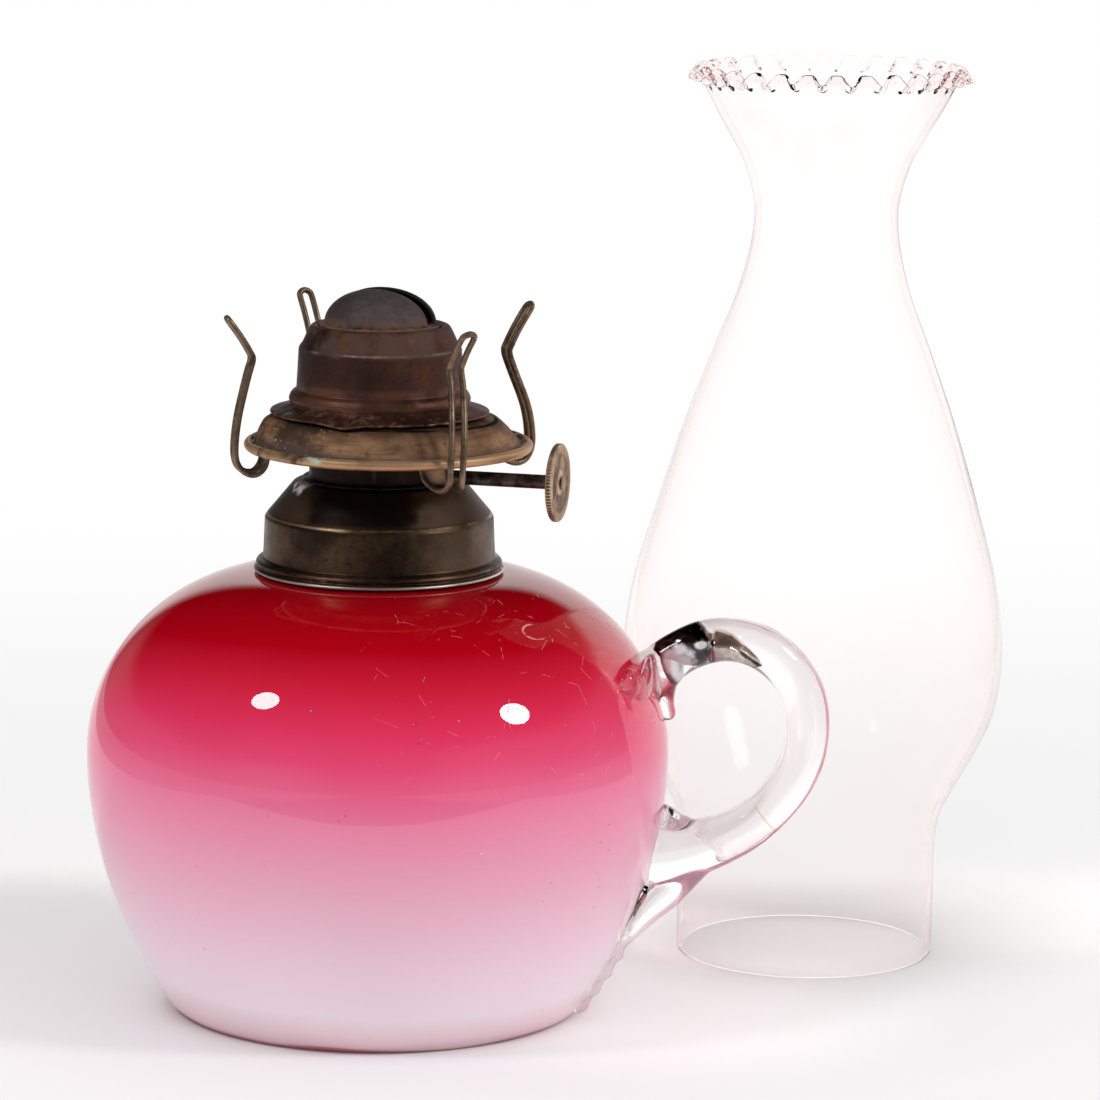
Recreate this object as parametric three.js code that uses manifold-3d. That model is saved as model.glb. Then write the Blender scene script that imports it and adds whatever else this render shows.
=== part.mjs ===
// A kerosene finger lamp: a squat cased-glass font with an applied glass handle, a brass collar, a flat-wick
// burner with four wire prongs, and the crimped-top glass chimney standing beside it.
// Millimetres, +Z up. The origin is the middle of the font's flat base, and +X points to the handle.
import * as THREE from "three";
import { mergeVertices } from "three/addons/utils/BufferGeometryUtils.js";
import Module from "manifold-3d";

const wasm = await Module();
wasm.setup();
const { degToRad, lerp, mapLinear, smoothstep } = THREE.MathUtils;

// Driving dimensions of the font
const footRadius = 48.9; // where the wall would meet the table without its rounded edge
const bellyRadius = 68.8;
const bellyHeight = 61;
const shoulderHeight = 104.2;
const fontWall = 4;

// Driving dimensions of the collar
const collarRadius = 27.3;
const collarHeight = 21.2;
const collarShoulderRise = 13.1;
const collarTopRadius = 19.5;
const collarFlangeWidth = 2.2;
const collarSheet = 0.7;

// Driving dimensions of the burner
const burnerSheet = 0.6;
const drumRadius = 16.5;
const rimRadius = 33.9; // outside of the gallery's rolled rim
const rimRise = 8.2; // from the foot of the burner to the middle of the rolled rim
const crownRise = 15.3; // from the foot of the burner to the top of the gallery's crown
const galleryShift = 2.1; // the dented gallery sits this far off the burner's middle
const capFlangeRadius = 25.4;
const capWallRadius = 19.6;
const capHeight = 20.9;
const domeRadius = 13.1;
const domeHeight = 8.9;
const spindleReach = 44.6; // from the lamp's middle to the middle of the thumbwheel
const spindleRadius = 1.65;
const thumbwheelRadius = 9.1;
const thumbwheelThickness = 1.6;
const burnerTurn = degToRad(-15); // the way the spindle points, seen from above
const wickWidth = 15.9;
const wickThickness = 2.4;
const wickFootHeight = 18.3; // the strip hangs down to here in the font

// Driving dimensions of the prongs
const wireRadius = 0.7;
const prongSpacing = 3.1; // between the two legs of one wire
const prongStandoff = 2.8; // between the outside of the rim and the middle of the wire that passes it
const prongGrip = 1.05; // how far the waists close in past the chimney's foot
const prongWaistRise = 29.1;
const prongTipFlare = 5.3; // from the waist out to the tip
const prongTipRise = 40.2;
const prongDrop = 6.1; // from the middle of the rolled rim down to the bottom of the hooks
const hookInset = 5.9; // from the outside of the rim in to the hooks under the dish

// Driving dimensions of the handle
const handleRadius = 5.3;
const handleReach = 32.6; // from the belly's side to the middle of the rod
const handleTopHeight = 89.2;
const handleFootHeight = 37;

// Driving dimensions of the chimney
const chimneyFitterRadius = 31.75;
const chimneyFitterHeight = 30;
const chimneyBulgeRadius = 46.7;
const chimneyNeckRadius = 17.5;
const chimneyRimRadius = 33.8;
const chimneyHeight = 217.6;
const chimneyWall = 1.6;
const chimneyLeanShare = 0.0108; // sideways lean of the blown glass for each millimetre of height
const chimneyGap = 2.1; // between the font's widest and the chimney's widest, seen from above
const chimneyAngle = degToRad(27.3);
const crimpCount = 30;

// Gaps and cuts that the whole lamp shares
const fit = 0.3; // between pieces that touch, slide or turn
const overrun = 2; // how far a cutting solid runs past what it cuts
const weld = 1e-4;

// The neck and the screw that the hidden pieces fit round: the screw is as wide as the wick tube needs
const collarWallTaper = 0.4;
const plasterWall = 1.5;
const neckRadius = collarRadius - collarWallTaper - collarSheet - plasterWall - 2 * fit;
const neckRise = collarShoulderRise - 3 * collarSheet - plasterWall;
const tubeWall = 0.5;
const tubeWidth = wickWidth + 5 * fit + 2 * tubeWall;
const tubeThickness = wickThickness + 4 * fit + 2 * tubeWall;
const plateRim = 0.7; // what is left of the base plate beyond the ends of the tube's slot
const screwRadius = tubeWidth / 2 + plateRim + 2 * fit + burnerSheet;

// Heights that the pieces stand at
const collarBase = shoulderHeight + fit;
const collarTop = collarBase + collarHeight;
const burnerBase = collarTop + fit;
const rimHeight = burnerBase + rimRise;
const crownHeight = burnerBase + crownRise;
const capBase = crownHeight + fit;
const capTop = capBase + capHeight;

const lamp = new THREE.Group();
const turned = new THREE.Group();
turned.rotation.z = burnerTurn;
lamp.add(turned);

// Materials
const finish = (color, roughness, metalness, opacity = 1) =>
  new THREE.MeshStandardMaterial({ color, roughness, metalness, opacity, transparent: opacity < 1 });
const casedGlass = finish(0xc2184b, 0.08, 0);
const clearGlass = finish(0xf4f1f0, 0.04, 0, 0.35);
const blushGlass = finish(0xf6dcd8, 0.04, 0, 0.3);
const collarBrass = finish(0x5c4f36, 0.38, 1);
const burnerBrass = finish(0x6e5238, 0.5, 1);
const capBrass = finish(0x5a4240, 0.45, 1);
const wireBrass = finish(0x6b5840, 0.45, 1);
const wheelBrass = finish(0x7a6545, 0.5, 1);
const darkSteel = finish(0x3a3532, 0.55, 1);
const domeSteel = finish(0x4b4846, 0.6, 1);
const plaster = finish(0xd9d3c5, 0.95, 0);
const cotton = finish(0xe4dcc6, 0.95, 0);

function place(name, geometry, material, group = lamp) {
  const mesh = new THREE.Mesh(geometry, material);
  mesh.name = name;
  group.add(mesh);
  return mesh;
}

// A solid of revolution about Z. The outline of [radius, height] points runs up its outside.
function revolve(outline, segments, closed = true) {
  const points = closed ? [...outline, outline[0]] : outline;
  const geometry = new THREE.LatheGeometry(
    points.map(([r, z]) => new THREE.Vector2(r, z)),
    segments,
  );
  return geometry.rotateX(Math.PI / 2);
}

// The closed outline of a bent sheet: a line of [radius, height] points at mid thickness, run inwards and up.
function sheetOutline(line, thickness) {
  const sides = line.map(([r, z], i) => {
    const before = line[Math.max(i - 1, 0)];
    const after = line[Math.min(i + 1, line.length - 1)];
    const into = new THREE.Vector2(r - before[0], z - before[1]).normalize();
    const out = new THREE.Vector2(after[0] - r, after[1] - z).normalize();
    const along = into.clone().add(out).normalize();
    const ends = i === 0 || i === line.length - 1;
    const reach = thickness / 2 / (ends ? 1 : Math.max(along.dot(into), 0.5));
    return [along.y * reach, -along.x * reach];
  });
  const right = line.map(([r, z], i) => [r + sides[i][0], z + sides[i][1]]);
  const left = line.map(([r, z], i) => [r - sides[i][0], z - sides[i][1]]);
  return [...right, ...left.reverse()];
}

function toSolid(geometry) {
  const bare = geometry.index ? geometry.toNonIndexed() : geometry.clone();
  bare.deleteAttribute("normal");
  bare.deleteAttribute("uv");
  const merged = mergeVertices(bare, weld);
  return new wasm.Manifold(
    new wasm.Mesh({
      numProp: 3,
      vertProperties: merged.attributes.position.array,
      triVerts: new Uint32Array(merged.index.array),
    }),
  );
}

function toGeometry(solid) {
  const mesh = solid.getMesh();
  return new THREE.BufferGeometry()
    .setAttribute("position", new THREE.BufferAttribute(new Float32Array(mesh.vertProperties), 3))
    .setIndex(new THREE.BufferAttribute(new Uint32Array(mesh.triVerts), 1));
}

const cut = (body, ...tools) =>
  toGeometry(tools.reduce((solid, tool) => solid.subtract(toSolid(tool)), toSolid(body)));
const join = (body, ...others) =>
  toGeometry(others.reduce((solid, other) => solid.add(toSolid(other)), toSolid(body)));

// A round bar of the given length along X, centred on the origin.
const bar = (radius, length, sides = 12) =>
  new THREE.CylinderGeometry(radius, radius, length, sides).rotateZ(-Math.PI / 2);

// The outline of a flat tube's section: a slot with round ends, along X.
function slotShape(width, thickness) {
  const radius = thickness / 2;
  const straight = width / 2 - radius;
  const shape = new THREE.Shape();
  shape.absarc(straight, 0, radius, -Math.PI / 2, Math.PI / 2, false);
  shape.absarc(-straight, 0, radius, Math.PI / 2, (Math.PI * 3) / 2, false);
  return shape;
}

const extrude = (shape, depth, curveSegments = 5) =>
  new THREE.ExtrudeGeometry(shape, { depth, curveSegments, bevelEnabled: false });

// The corners of a round outline with the given number of sides.
const circle = (radius, count, x = 0, y = 0) =>
  Array.from({ length: count }, (_, i) => {
    const angle = ((i + 0.5) / count) * Math.PI * 2;
    return new THREE.Vector2(x + radius * Math.cos(angle), y + radius * Math.sin(angle));
  });

// A solid through rings of points. The rings run anticlockwise about the way they follow each other, and
// neighbours have as many points, or a whole number of times as many. Open ends are closed by their centres.
function stackRings(rings, closed) {
  const position = rings.flat().flatMap((p) => [p.x, p.y, p.z]);
  const starts = rings.map((_, i) => rings.slice(0, i).reduce((sum, ring) => sum + ring.length, 0));
  const index = [];
  const last = closed ? rings.length : rings.length - 1;
  for (let i = 0; i < last; i++) {
    const next = (i + 1) % rings.length;
    const low = (j) => starts[i] + (j % rings[i].length);
    const high = (j) => starts[next] + (j % rings[next].length);
    const lowStep = Math.max(rings[i].length / rings[next].length, 1);
    const highStep = Math.max(rings[next].length / rings[i].length, 1);
    const count = Math.min(rings[i].length, rings[next].length);
    for (let j = 0; j < count; j++) {
      for (let s = 0; s < highStep && highStep > 1; s++) {
        index.push(low(j), high(j * highStep + s + 1), high(j * highStep + s));
      }
      if (highStep > 1) index.push(low(j), low(j + 1), high((j + 1) * highStep));
      for (let s = 0; s < lowStep && highStep === 1; s++) {
        index.push(low(j * lowStep + s), low(j * lowStep + s + 1), high(j));
      }
      if (highStep === 1) index.push(low((j + 1) * lowStep), high(j + 1), high(j));
    }
  }
  if (!closed) {
    [0, rings.length - 1].forEach((i) => {
      const middle = new THREE.Vector3();
      rings[i].forEach((p) => middle.addScaledVector(p, 1 / rings[i].length));
      const centre = position.length / 3;
      position.push(middle.x, middle.y, middle.z);
      rings[i].forEach((_, j) => {
        const here = starts[i] + j;
        const after = starts[i] + ((j + 1) % rings[i].length);
        index.push(centre, ...(i === 0 ? [after, here] : [here, after]));
      });
    });
  }
  return new THREE.BufferGeometry()
    .setAttribute("position", new THREE.Float32BufferAttribute(position, 3))
    .setIndex(index);
}

// A tube through points, with a [width radius, depth radius] at each. Width lies along the given side.
function tube(points, radii, sides, side) {
  const rings = points.map((p, i) => {
    const before = points[Math.max(i - 1, 0)];
    const after = points[Math.min(i + 1, points.length - 1)];
    const along = after.clone().sub(before).normalize();
    const wide = side.clone().addScaledVector(along, -side.dot(along)).normalize();
    const deep = along.clone().cross(wide);
    return Array.from({ length: sides }, (_, j) => {
      const angle = (j / sides) * Math.PI * 2;
      return p
        .clone()
        .addScaledVector(wide, Math.cos(angle) * radii[i][0])
        .addScaledVector(deep, Math.sin(angle) * radii[i][1]);
    });
  });
  return stackRings(rings, false);
}

const polar = (radius, angle, z) => new THREE.Vector3(Math.cos(angle) * radius, Math.sin(angle) * radius, z);

// Font: one blown shell with a flat base, a low belly, a round shoulder and a short neck inside the collar
const fontSegments = 36;
const footRound = 1.5;
const fontFloor = 4.5;
const neckLedge = 0.5;
const shoulderFlatRadius = neckRadius + neckLedge;

function fontRadius(z) {
  const up = (z - bellyHeight) / (shoulderHeight - bellyHeight);
  if (z > bellyHeight) {
    return shoulderFlatRadius + (bellyRadius - shoulderFlatRadius) * Math.sqrt(Math.max(1 - up * up, 0));
  }
  return bellyRadius - (bellyRadius - footRadius) * (1 - z / bellyHeight) ** 2;
}

// The points of the font's wall from the foot to the shoulder, set in by a distance square to the wall.
function fontWallLine(inset, floor, top) {
  const lowShares = [0, 0.07, 0.2, 0.38, 0.58, 0.78, 1];
  const highShares = [0.22, 0.42, 0.6, 0.76, 0.9, 1];
  const low = lowShares.map((share) => {
    const z = share * bellyHeight;
    const slope = (2 * (bellyRadius - footRadius) * (1 - share)) / bellyHeight;
    const reach = Math.hypot(1, slope);
    return [fontRadius(z) - inset / reach, z + (inset * slope) / reach];
  });
  const high = highShares.map((share) => {
    const angle = (share * Math.PI) / 2;
    const across = bellyRadius - shoulderFlatRadius - inset;
    const rise = shoulderHeight - bellyHeight - inset;
    return [shoulderFlatRadius + across * Math.cos(angle), bellyHeight + rise * Math.sin(angle)];
  });
  return [...low, ...high].filter(([, z]) => z > floor && z <= top + weld);
}

function font() {
  const neckTop = shoulderHeight + neckRise;
  const bore = neckRadius - fontWall;
  const outside = [
    [0, 0],
    [footRadius - footRound, 0],
    [footRadius - footRound * 0.2, footRound * 0.35],
    ...fontWallLine(0, footRound, shoulderHeight),
    [neckRadius, shoulderHeight + fit],
    [neckRadius, neckTop],
  ];
  const inside = [
    [bore, neckTop],
    [bore, shoulderHeight - fontWall],
    ...fontWallLine(fontWall, fontFloor + footRound, shoulderHeight - fontWall).reverse(),
    [footRadius - fontWall - footRound, fontFloor],
    [0, fontFloor],
  ];
  return revolve([...outside, ...inside], fontSegments, false);
}
place("font", font(), casedGlass);

// Handle: a round rod of clear glass bent to a finger loop. Its top is pressed on as a pad with a curled
// drip, and its foot spreads on the font's side and runs down it as a thin tail.
const handleSides = 12;
const handleAngle = degToRad(-3);
const padHeight = 79.5;
const handleRoot = fontRadius(padHeight); // how far out both ends meet the font's side
const handleFar = bellyRadius + handleReach;
// Places along the loop: share of the reach, share of the height from foot to top, share of the rod's radius
const handleShares = [
  [-0.08, 0.785, 1.2],
  [0.03, 0.85, 1.12],
  [0.16, 0.927, 1.02],
  [0.33, 0.985, 1],
  [0.51, 1, 1],
  [0.7, 0.966, 1],
  [0.86, 0.88, 1],
  [0.963, 0.766, 1],
  [1, 0.632, 1],
  [0.984, 0.489, 1],
  [0.913, 0.364, 1],
  [0.794, 0.245, 1],
  [0.648, 0.151, 1.04],
  [0.476, 0.082, 1.14],
  [0.29, 0.034, 1.32],
  [0.1, 0, 1.55],
  [-0.08, -0.03, 1.6],
];
const padSize = new THREE.Vector3(4.2, 9.5, 6.6);
const padAngle = degToRad(-9);
const dripRadius = 1.9;
const dripDrop = 9.5;
const tailTopAngle = degToRad(-4);
const tailFootAngle = degToRad(-19);
const tailHalfWidth = 3.6;
const tailThickness = 2.6;
const tailRipple = 0.35;
const tailSpread = 3.4; // how much thicker the tail is where it leaves the rod
const tailFootHeight = 1.6;

function handle() {
  const span = handleFar - handleRoot;
  const rise = handleTopHeight - handleFootHeight;
  const points = handleShares.map(([out, up]) =>
    polar(handleRoot + out * span, handleAngle, handleFootHeight + up * rise),
  );
  const radii = handleShares.map(([, , share]) => [handleRadius * share, handleRadius * share]);
  const side = polar(1, handleAngle + Math.PI / 2, 0);
  const rod = tube(points, radii, handleSides, side);

  const pad = new THREE.SphereGeometry(1, 12, 8).scale(padSize.x, padSize.y, padSize.z);
  pad.rotateZ(padAngle).translate(...polar(fontRadius(padHeight), padAngle, padHeight));

  const dripShares = [0, 0.3, 0.6, 0.85, 1];
  const dripPoints = dripShares.map((share) => {
    const z = padHeight - share * dripDrop;
    return polar(fontRadius(z) + dripRadius * (0.9 + share * share), handleAngle, z);
  });
  const dripRadii = dripShares.map((share) => [1.3, 1.2].map((thick) => dripRadius * (thick - 0.6 * share)));
  const drip = tube(dripPoints, dripRadii, 8, side);

  const tailShares = [0, 0.12, 0.24, 0.36, 0.48, 0.6, 0.72, 0.84, 0.93, 1];
  const tailPoints = tailShares.map((share) => {
    const z = lerp(handleFootHeight, tailFootHeight, share);
    return polar(fontRadius(z), lerp(tailTopAngle, tailFootAngle, share), z);
  });
  const tailRadii = tailShares.map((share, i) => {
    const narrow = 1 - 0.6 * share;
    const ripple = i % 2 ? tailRipple : 0;
    const spread = tailSpread * Math.max(1 - share / 0.3, 0) ** 2;
    return [tailHalfWidth * narrow + spread / 2, tailThickness * (1.15 - 0.7 * share) + ripple + spread];
  });
  const tail = tube(tailPoints, tailRadii, 8, side);

  const clearance = revolve(
    [
      [0, -overrun],
      [footRadius, -overrun],
      [footRadius + fit, 0],
      ...fontWallLine(-fit, footRound, shoulderHeight + fit),
      [0, shoulderHeight + fit],
    ],
    fontSegments,
    false,
  );
  const floorCut = new THREE.BoxGeometry(handleFar * 2, handleFar * 2, handleFar);
  floorCut.translate(0, 0, tailFootHeight / 2 - handleFar / 2);
  return cut(join(rod, pad, drip, tail), clearance, floorCut);
}
place("handle", handle(), clearGlass);

// Collar: a spun brass shell over the neck, the screw ring under its top, and the plaster that holds both
const collarSegments = 28;
const collarFlangeRadius = collarRadius + collarFlangeWidth;
const collarBeadRise = 2.6;
const collarBeadDepth = 1.7;
const collarBeadRadius = collarRadius + collarBeadDepth;
const collarMouthRadius = screwRadius + 2 * fit;

function collarShell() {
  const outside = [
    [collarFlangeRadius - collarSheet, collarBase],
    [collarFlangeRadius, collarBase],
    [collarFlangeRadius, collarBase + collarSheet],
    [collarBeadRadius - collarSheet / 2, collarBase + 2 * collarSheet],
    [collarBeadRadius, collarBase + collarBeadRise - collarSheet],
    [collarBeadRadius - collarSheet / 2, collarBase + collarBeadRise],
    [collarRadius, collarBase + collarBeadRise + collarSheet],
    [collarRadius - collarWallTaper, collarBase + collarShoulderRise - collarSheet],
    [collarRadius - collarWallTaper - collarSheet / 2, collarBase + collarShoulderRise],
    [collarTopRadius + collarSheet, collarTop - collarSheet / 2],
    [collarTopRadius, collarTop],
    [collarMouthRadius, collarTop],
  ];
  const inside = [
    [collarMouthRadius, collarTop - collarSheet],
    [collarTopRadius - collarSheet, collarTop - collarSheet],
    [collarRadius - collarWallTaper - 2 * collarSheet, collarBase + collarShoulderRise - collarSheet / 2],
    [collarRadius - collarWallTaper - collarSheet, collarBase + collarShoulderRise - 2 * collarSheet],
    [collarRadius - collarSheet, collarBase + collarBeadRise],
    [collarRadius - collarSheet, collarBase],
  ];
  return revolve([...outside, ...inside], collarSegments);
}
place("collar_shell", collarShell(), collarBrass);

const screwRingSheet = 0.8;
const screwRingFlangeWidth = 3.4;
const screwRingDepth = 9.8;

function collarScrewRing() {
  const bore = screwRadius + fit;
  const flange = screwRadius + screwRingFlangeWidth;
  const top = collarTop - collarSheet - fit;
  return revolve(
    [
      [bore, top - screwRingDepth],
      [bore + screwRingSheet, top - screwRingDepth],
      [bore + screwRingSheet, top - screwRingSheet],
      [flange, top - screwRingSheet],
      [flange, top],
      [bore, top],
    ],
    collarSegments,
  );
}
place("collar_screw_ring", collarScrewRing(), collarBrass);

function neckPlaster() {
  const outer = collarRadius - collarWallTaper - collarSheet - fit;
  const top = collarBase + collarShoulderRise - 3 * collarSheet;
  const ringOutside = screwRadius + fit + screwRingSheet + fit;
  const neckTop = shoulderHeight + neckRise + fit;
  return revolve(
    [
      [neckRadius + fit, collarBase + fit],
      [outer, collarBase + fit],
      [outer, top],
      [ringOutside, top],
      [ringOutside, neckTop],
      [neckRadius + fit, neckTop],
    ],
    collarSegments,
  );
}
place("neck_plaster", neckPlaster(), plaster);

// Burner foot: the screw shell with its flange, and the plate inside it that carries the wick tube
const burnerSegments = 28;
const screwShellDrop = 10.8;
const basePlateDrop = 7;
const ventRadius = 1.5;
const ventWall = 0.4;
const ventOffset = tubeThickness / 2 + fit + ventRadius + ventWall;

function burnerScrewShell() {
  const flange = drumRadius - burnerSheet - fit;
  return revolve(
    [
      [screwRadius - burnerSheet, burnerBase - screwShellDrop],
      [screwRadius, burnerBase - screwShellDrop],
      [screwRadius, burnerBase],
      [flange, burnerBase],
      [flange, burnerBase + burnerSheet],
      [screwRadius - burnerSheet, burnerBase + burnerSheet],
    ],
    burnerSegments,
  );
}
place("burner_screw_shell", burnerScrewShell(), burnerBrass);

// A round plate lying at a height, with the wick tube's slot and the vent tube's hole through it.
function slottedPlate(radius, bottom, holes = []) {
  const shape = new THREE.Shape(circle(radius, burnerSegments));
  const slot = new THREE.Path(slotShape(tubeWidth + 2 * fit, tubeThickness + 2 * fit).getPoints(4));
  const vent = new THREE.Path(circle(ventRadius + fit, 10, 0, ventOffset));
  shape.holes.push(slot, vent, ...holes);
  return extrude(shape, burnerSheet).translate(0, 0, bottom);
}
const basePlateBottom = burnerBase - basePlateDrop;
place(
  "burner_base_plate",
  slottedPlate(screwRadius - burnerSheet - fit, basePlateBottom),
  burnerBrass,
  turned,
);

// Drum: the pierced casing between the collar and the gallery, and the pierced plate that spreads the draught
const drumFootWidth = 1.3;
const drumFlareWidth = 5.5;
const drumFlareRise = 3.2;
const drumHoleRadius = 1.2;
const drumHoleCount = 12;
const drumHoleRise = 8.6;
const bushWall = 0.45;
const bushClearance = 0.2;
const bushLift = 0.1; // the bush stays this far above the collar's top
const bushRadius = spindleRadius + bushClearance + bushWall;
const spindleHeight = collarTop + bushLift + bushRadius;
const wheelTipRadius = 3.4;
const spindleOffset = -(wickThickness / 2 + fit + wheelTipRadius);

function burnerDrum() {
  const wall = drumRadius - burnerSheet / 2;
  const flare = drumRadius + drumFlareWidth;
  const top = crownHeight - burnerSheet - fit - burnerSheet / 2;
  const shell = revolve(
    sheetOutline(
      [
        [drumRadius + drumFootWidth, burnerBase + burnerSheet / 2],
        [wall, burnerBase + burnerSheet / 2],
        [wall, top - drumFlareRise],
        [flare - burnerSheet, top],
        [flare, top],
      ].reverse(),
      burnerSheet,
    ),
    burnerSegments,
  );
  const holes = Array.from({ length: drumHoleCount }, (_, i) =>
    bar(drumHoleRadius, overrun * 2, 6)
      .translate(wall, 0, burnerBase + drumHoleRise)
      .rotateZ(((i + 0.5) / drumHoleCount) * Math.PI * 2),
  );
  const bushHole = bar(bushRadius + fit, drumRadius).translate(drumRadius, spindleOffset, spindleHeight);
  return cut(shell, ...holes, bushHole);
}
place("burner_drum", burnerDrum(), burnerBrass, turned);

const screenHoleRadius = 1.2;
const screenHoleCount = 16;

function airScreen() {
  const radius = drumRadius - burnerSheet - fit;
  const holes = circle(radius - 2 * screenHoleRadius, screenHoleCount).map(
    (p) => new THREE.Path(circle(screenHoleRadius, 6, p.x, p.y)),
  );
  return slottedPlate(radius, burnerBase + drumHoleRise + drumHoleRadius + fit, holes);
}
place("air_screen", airScreen(), burnerBrass, turned);

// Wick tube: a flat tube with two windows for the toothed wheels, and the vent tube beside it
const tubeDrop = 13.8;
const tubeTopDrop = 1.4;
const tubeFoot = burnerBase - tubeDrop;
const tubeTop = capTop - tubeTopDrop;
const wheelPlace = 2.8;
const wheelThickness = 1;
const windowHalfWidth = wheelThickness / 2 + fit;

function wickTube() {
  const section = slotShape(tubeWidth, tubeThickness);
  const bore = slotShape(tubeWidth - 2 * tubeWall, tubeThickness - 2 * tubeWall);
  section.holes.push(new THREE.Path(bore.getPoints(5)));
  const body = extrude(section, tubeTop - tubeFoot).translate(0, 0, tubeFoot);
  const windows = [-wheelPlace, wheelPlace].map((x) =>
    new THREE.BoxGeometry(2 * windowHalfWidth, tubeThickness / 2, wheelTipRadius * 1.5).translate(
      x,
      -tubeThickness / 2,
      spindleHeight,
    ),
  );
  return cut(body, ...windows);
}
place("wick_tube", wickTube(), burnerBrass, turned);

function ventTube() {
  const section = new THREE.Shape(circle(ventRadius, 10, 0, ventOffset));
  section.holes.push(new THREE.Path(circle(ventRadius - ventWall, 10, 0, ventOffset)));
  const foot = basePlateBottom - ventRadius;
  return extrude(section, crownHeight + ventRadius - foot).translate(0, 0, foot);
}
place("vent_tube", ventTube(), burnerBrass, turned);

// Wick: a flat woven cotton strip, hanging from the tube into the font
const wickTop = tubeTop - fit;
const wickLength = wickTop - wickFootHeight;
place(
  "wick",
  new THREE.BoxGeometry(wickWidth, wickThickness, wickLength).translate(0, 0, wickTop - wickLength / 2),
  cotton,
  turned,
);

// Spindle: a turned wire with the toothed wheels in their housing at one end and the thumbwheel at the other
const journalRadius = 1.2;
// Where the inside of the drum's wall stands along the spindle
const journalEnd = Math.sqrt((drumRadius - burnerSheet) ** 2 - spindleOffset ** 2);
const housingSheet = 0.5;
const housingHalf = wheelPlace + wheelThickness / 2 + 2 * fit + housingSheet;
const tenonRadius = 0.9;
const rivetRadius = 1.7;
const rivetHeight = 0.6;

function spindle() {
  const end = spindleReach - thumbwheelThickness / 2;
  const far = spindleReach + thumbwheelThickness / 2;
  const outline = [
    [0, -housingHalf - fit],
    [journalRadius, -housingHalf - fit],
    [journalRadius, journalEnd],
    [spindleRadius, journalEnd],
    [spindleRadius, end - fit],
    [tenonRadius, end - fit],
    [tenonRadius, far + fit],
    [rivetRadius, far + fit],
    [rivetRadius * 0.8, far + fit + rivetHeight * 0.7],
    [0, far + fit + rivetHeight],
  ];
  return revolve(outline, 12, false).rotateY(Math.PI / 2).translate(0, spindleOffset, spindleHeight);
}
place("spindle", spindle(), darkSteel, turned);

// A flat wheel across the spindle: a toothed outline with a bore, its middle at a place along the spindle.
function toothedWheel(tip, root, teeth, toothShare, bore, thickness, x) {
  const shape = new THREE.Shape();
  for (let i = 0; i < teeth; i++) {
    const corners = [
      [root, 0],
      [tip, 0.5 - toothShare / 2],
      [tip, 0.5 + toothShare / 2],
    ];
    corners.forEach(([radius, share]) => {
      const p = polar(radius, ((i + share) / teeth) * Math.PI * 2, 0);
      if (i === 0 && share === 0) shape.moveTo(p.x, p.y);
      else shape.lineTo(p.x, p.y);
    });
  }
  shape.holes.push(new THREE.Path(circle(bore, 10)));
  return extrude(shape, thickness)
    .translate(0, 0, -thickness / 2)
    .rotateY(Math.PI / 2)
    .translate(x, spindleOffset, spindleHeight);
}
const wheelRootRadius = 2.3;
const wheelTeeth = 8;
[-wheelPlace, wheelPlace].forEach((x, i) =>
  place(
    `wick_wheel_${i + 1}`,
    toothedWheel(wheelTipRadius, wheelRootRadius, wheelTeeth, 0.16, journalRadius + fit, wheelThickness, x),
    darkSteel,
    turned,
  ),
);

// Thumbwheel: a brass disc with a milled edge and a sunk face on both sides, riveted on the spindle
const milledTeeth = 32;
const milledDepth = 0.45;
const faceRimWidth = 1.5;
const faceSink = 0.35;
const faceBossRadius = 3;

function thumbwheel() {
  const disc = toothedWheel(
    thumbwheelRadius,
    thumbwheelRadius - milledDepth,
    milledTeeth,
    0.5,
    tenonRadius + fit,
    thumbwheelThickness,
    spindleReach,
  );
  const sinks = [-1, 1].map((sign) => {
    const depth = faceSink + overrun;
    const middle = thumbwheelThickness / 2 - faceSink + depth / 2;
    return revolve(
      [
        [faceBossRadius, -depth / 2],
        [thumbwheelRadius - milledDepth - faceRimWidth, -depth / 2],
        [thumbwheelRadius - milledDepth - faceRimWidth, depth / 2],
        [faceBossRadius, depth / 2],
      ],
      24,
    )
      .rotateY(Math.PI / 2)
      .translate(spindleReach + sign * middle, spindleOffset, spindleHeight);
  });
  return cut(disc, ...sinks);
}
place("thumbwheel", thumbwheel(), wheelBrass, turned);

function spindleBush() {
  const start = journalEnd + fit;
  const bore = spindleRadius + bushClearance;
  return revolve(
    [
      [bore, start],
      [bushRadius, start],
      [bushRadius, start + 5 * burnerSheet],
      [bore, start + 5 * burnerSheet],
    ],
    12,
  )
    .rotateY(Math.PI / 2)
    .translate(0, spindleOffset, spindleHeight);
}
place("spindle_bush", spindleBush(), burnerBrass, turned);

// Housing: a half-round cover over the toothed wheels, closed against the wick tube
function wheelHousing() {
  const radius = wheelTipRadius + fit + housingSheet;
  const depth = 2 * radius;
  const cover = bar(radius, 2 * housingHalf, 16);
  const hollow = bar(radius - housingSheet, 2 * (housingHalf - housingSheet), 16);
  const journals = bar(journalRadius + fit, 2 * housingHalf + overrun);
  const tubeSide = new THREE.BoxGeometry(2 * housingHalf + overrun, depth, depth + overrun);
  tubeSide.translate(0, depth / 2 - tubeThickness / 2 - fit - spindleOffset, 0);
  return cut(cover, hollow, journals, tubeSide).translate(0, spindleOffset, spindleHeight);
}
place("wheel_housing", wheelHousing(), burnerBrass, turned);

// Gallery: a pressed dish with a rolled rim that the chimney stands in, and a neck that the cap slides over
const rimBead = 1.15;
const galleryNeckRadius = capWallRadius - burnerSheet - 2 * fit;
const galleryNeckRise = 4.9;
const crownOverhang = 1; // how far the cap's flange reaches out over the dish
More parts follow.
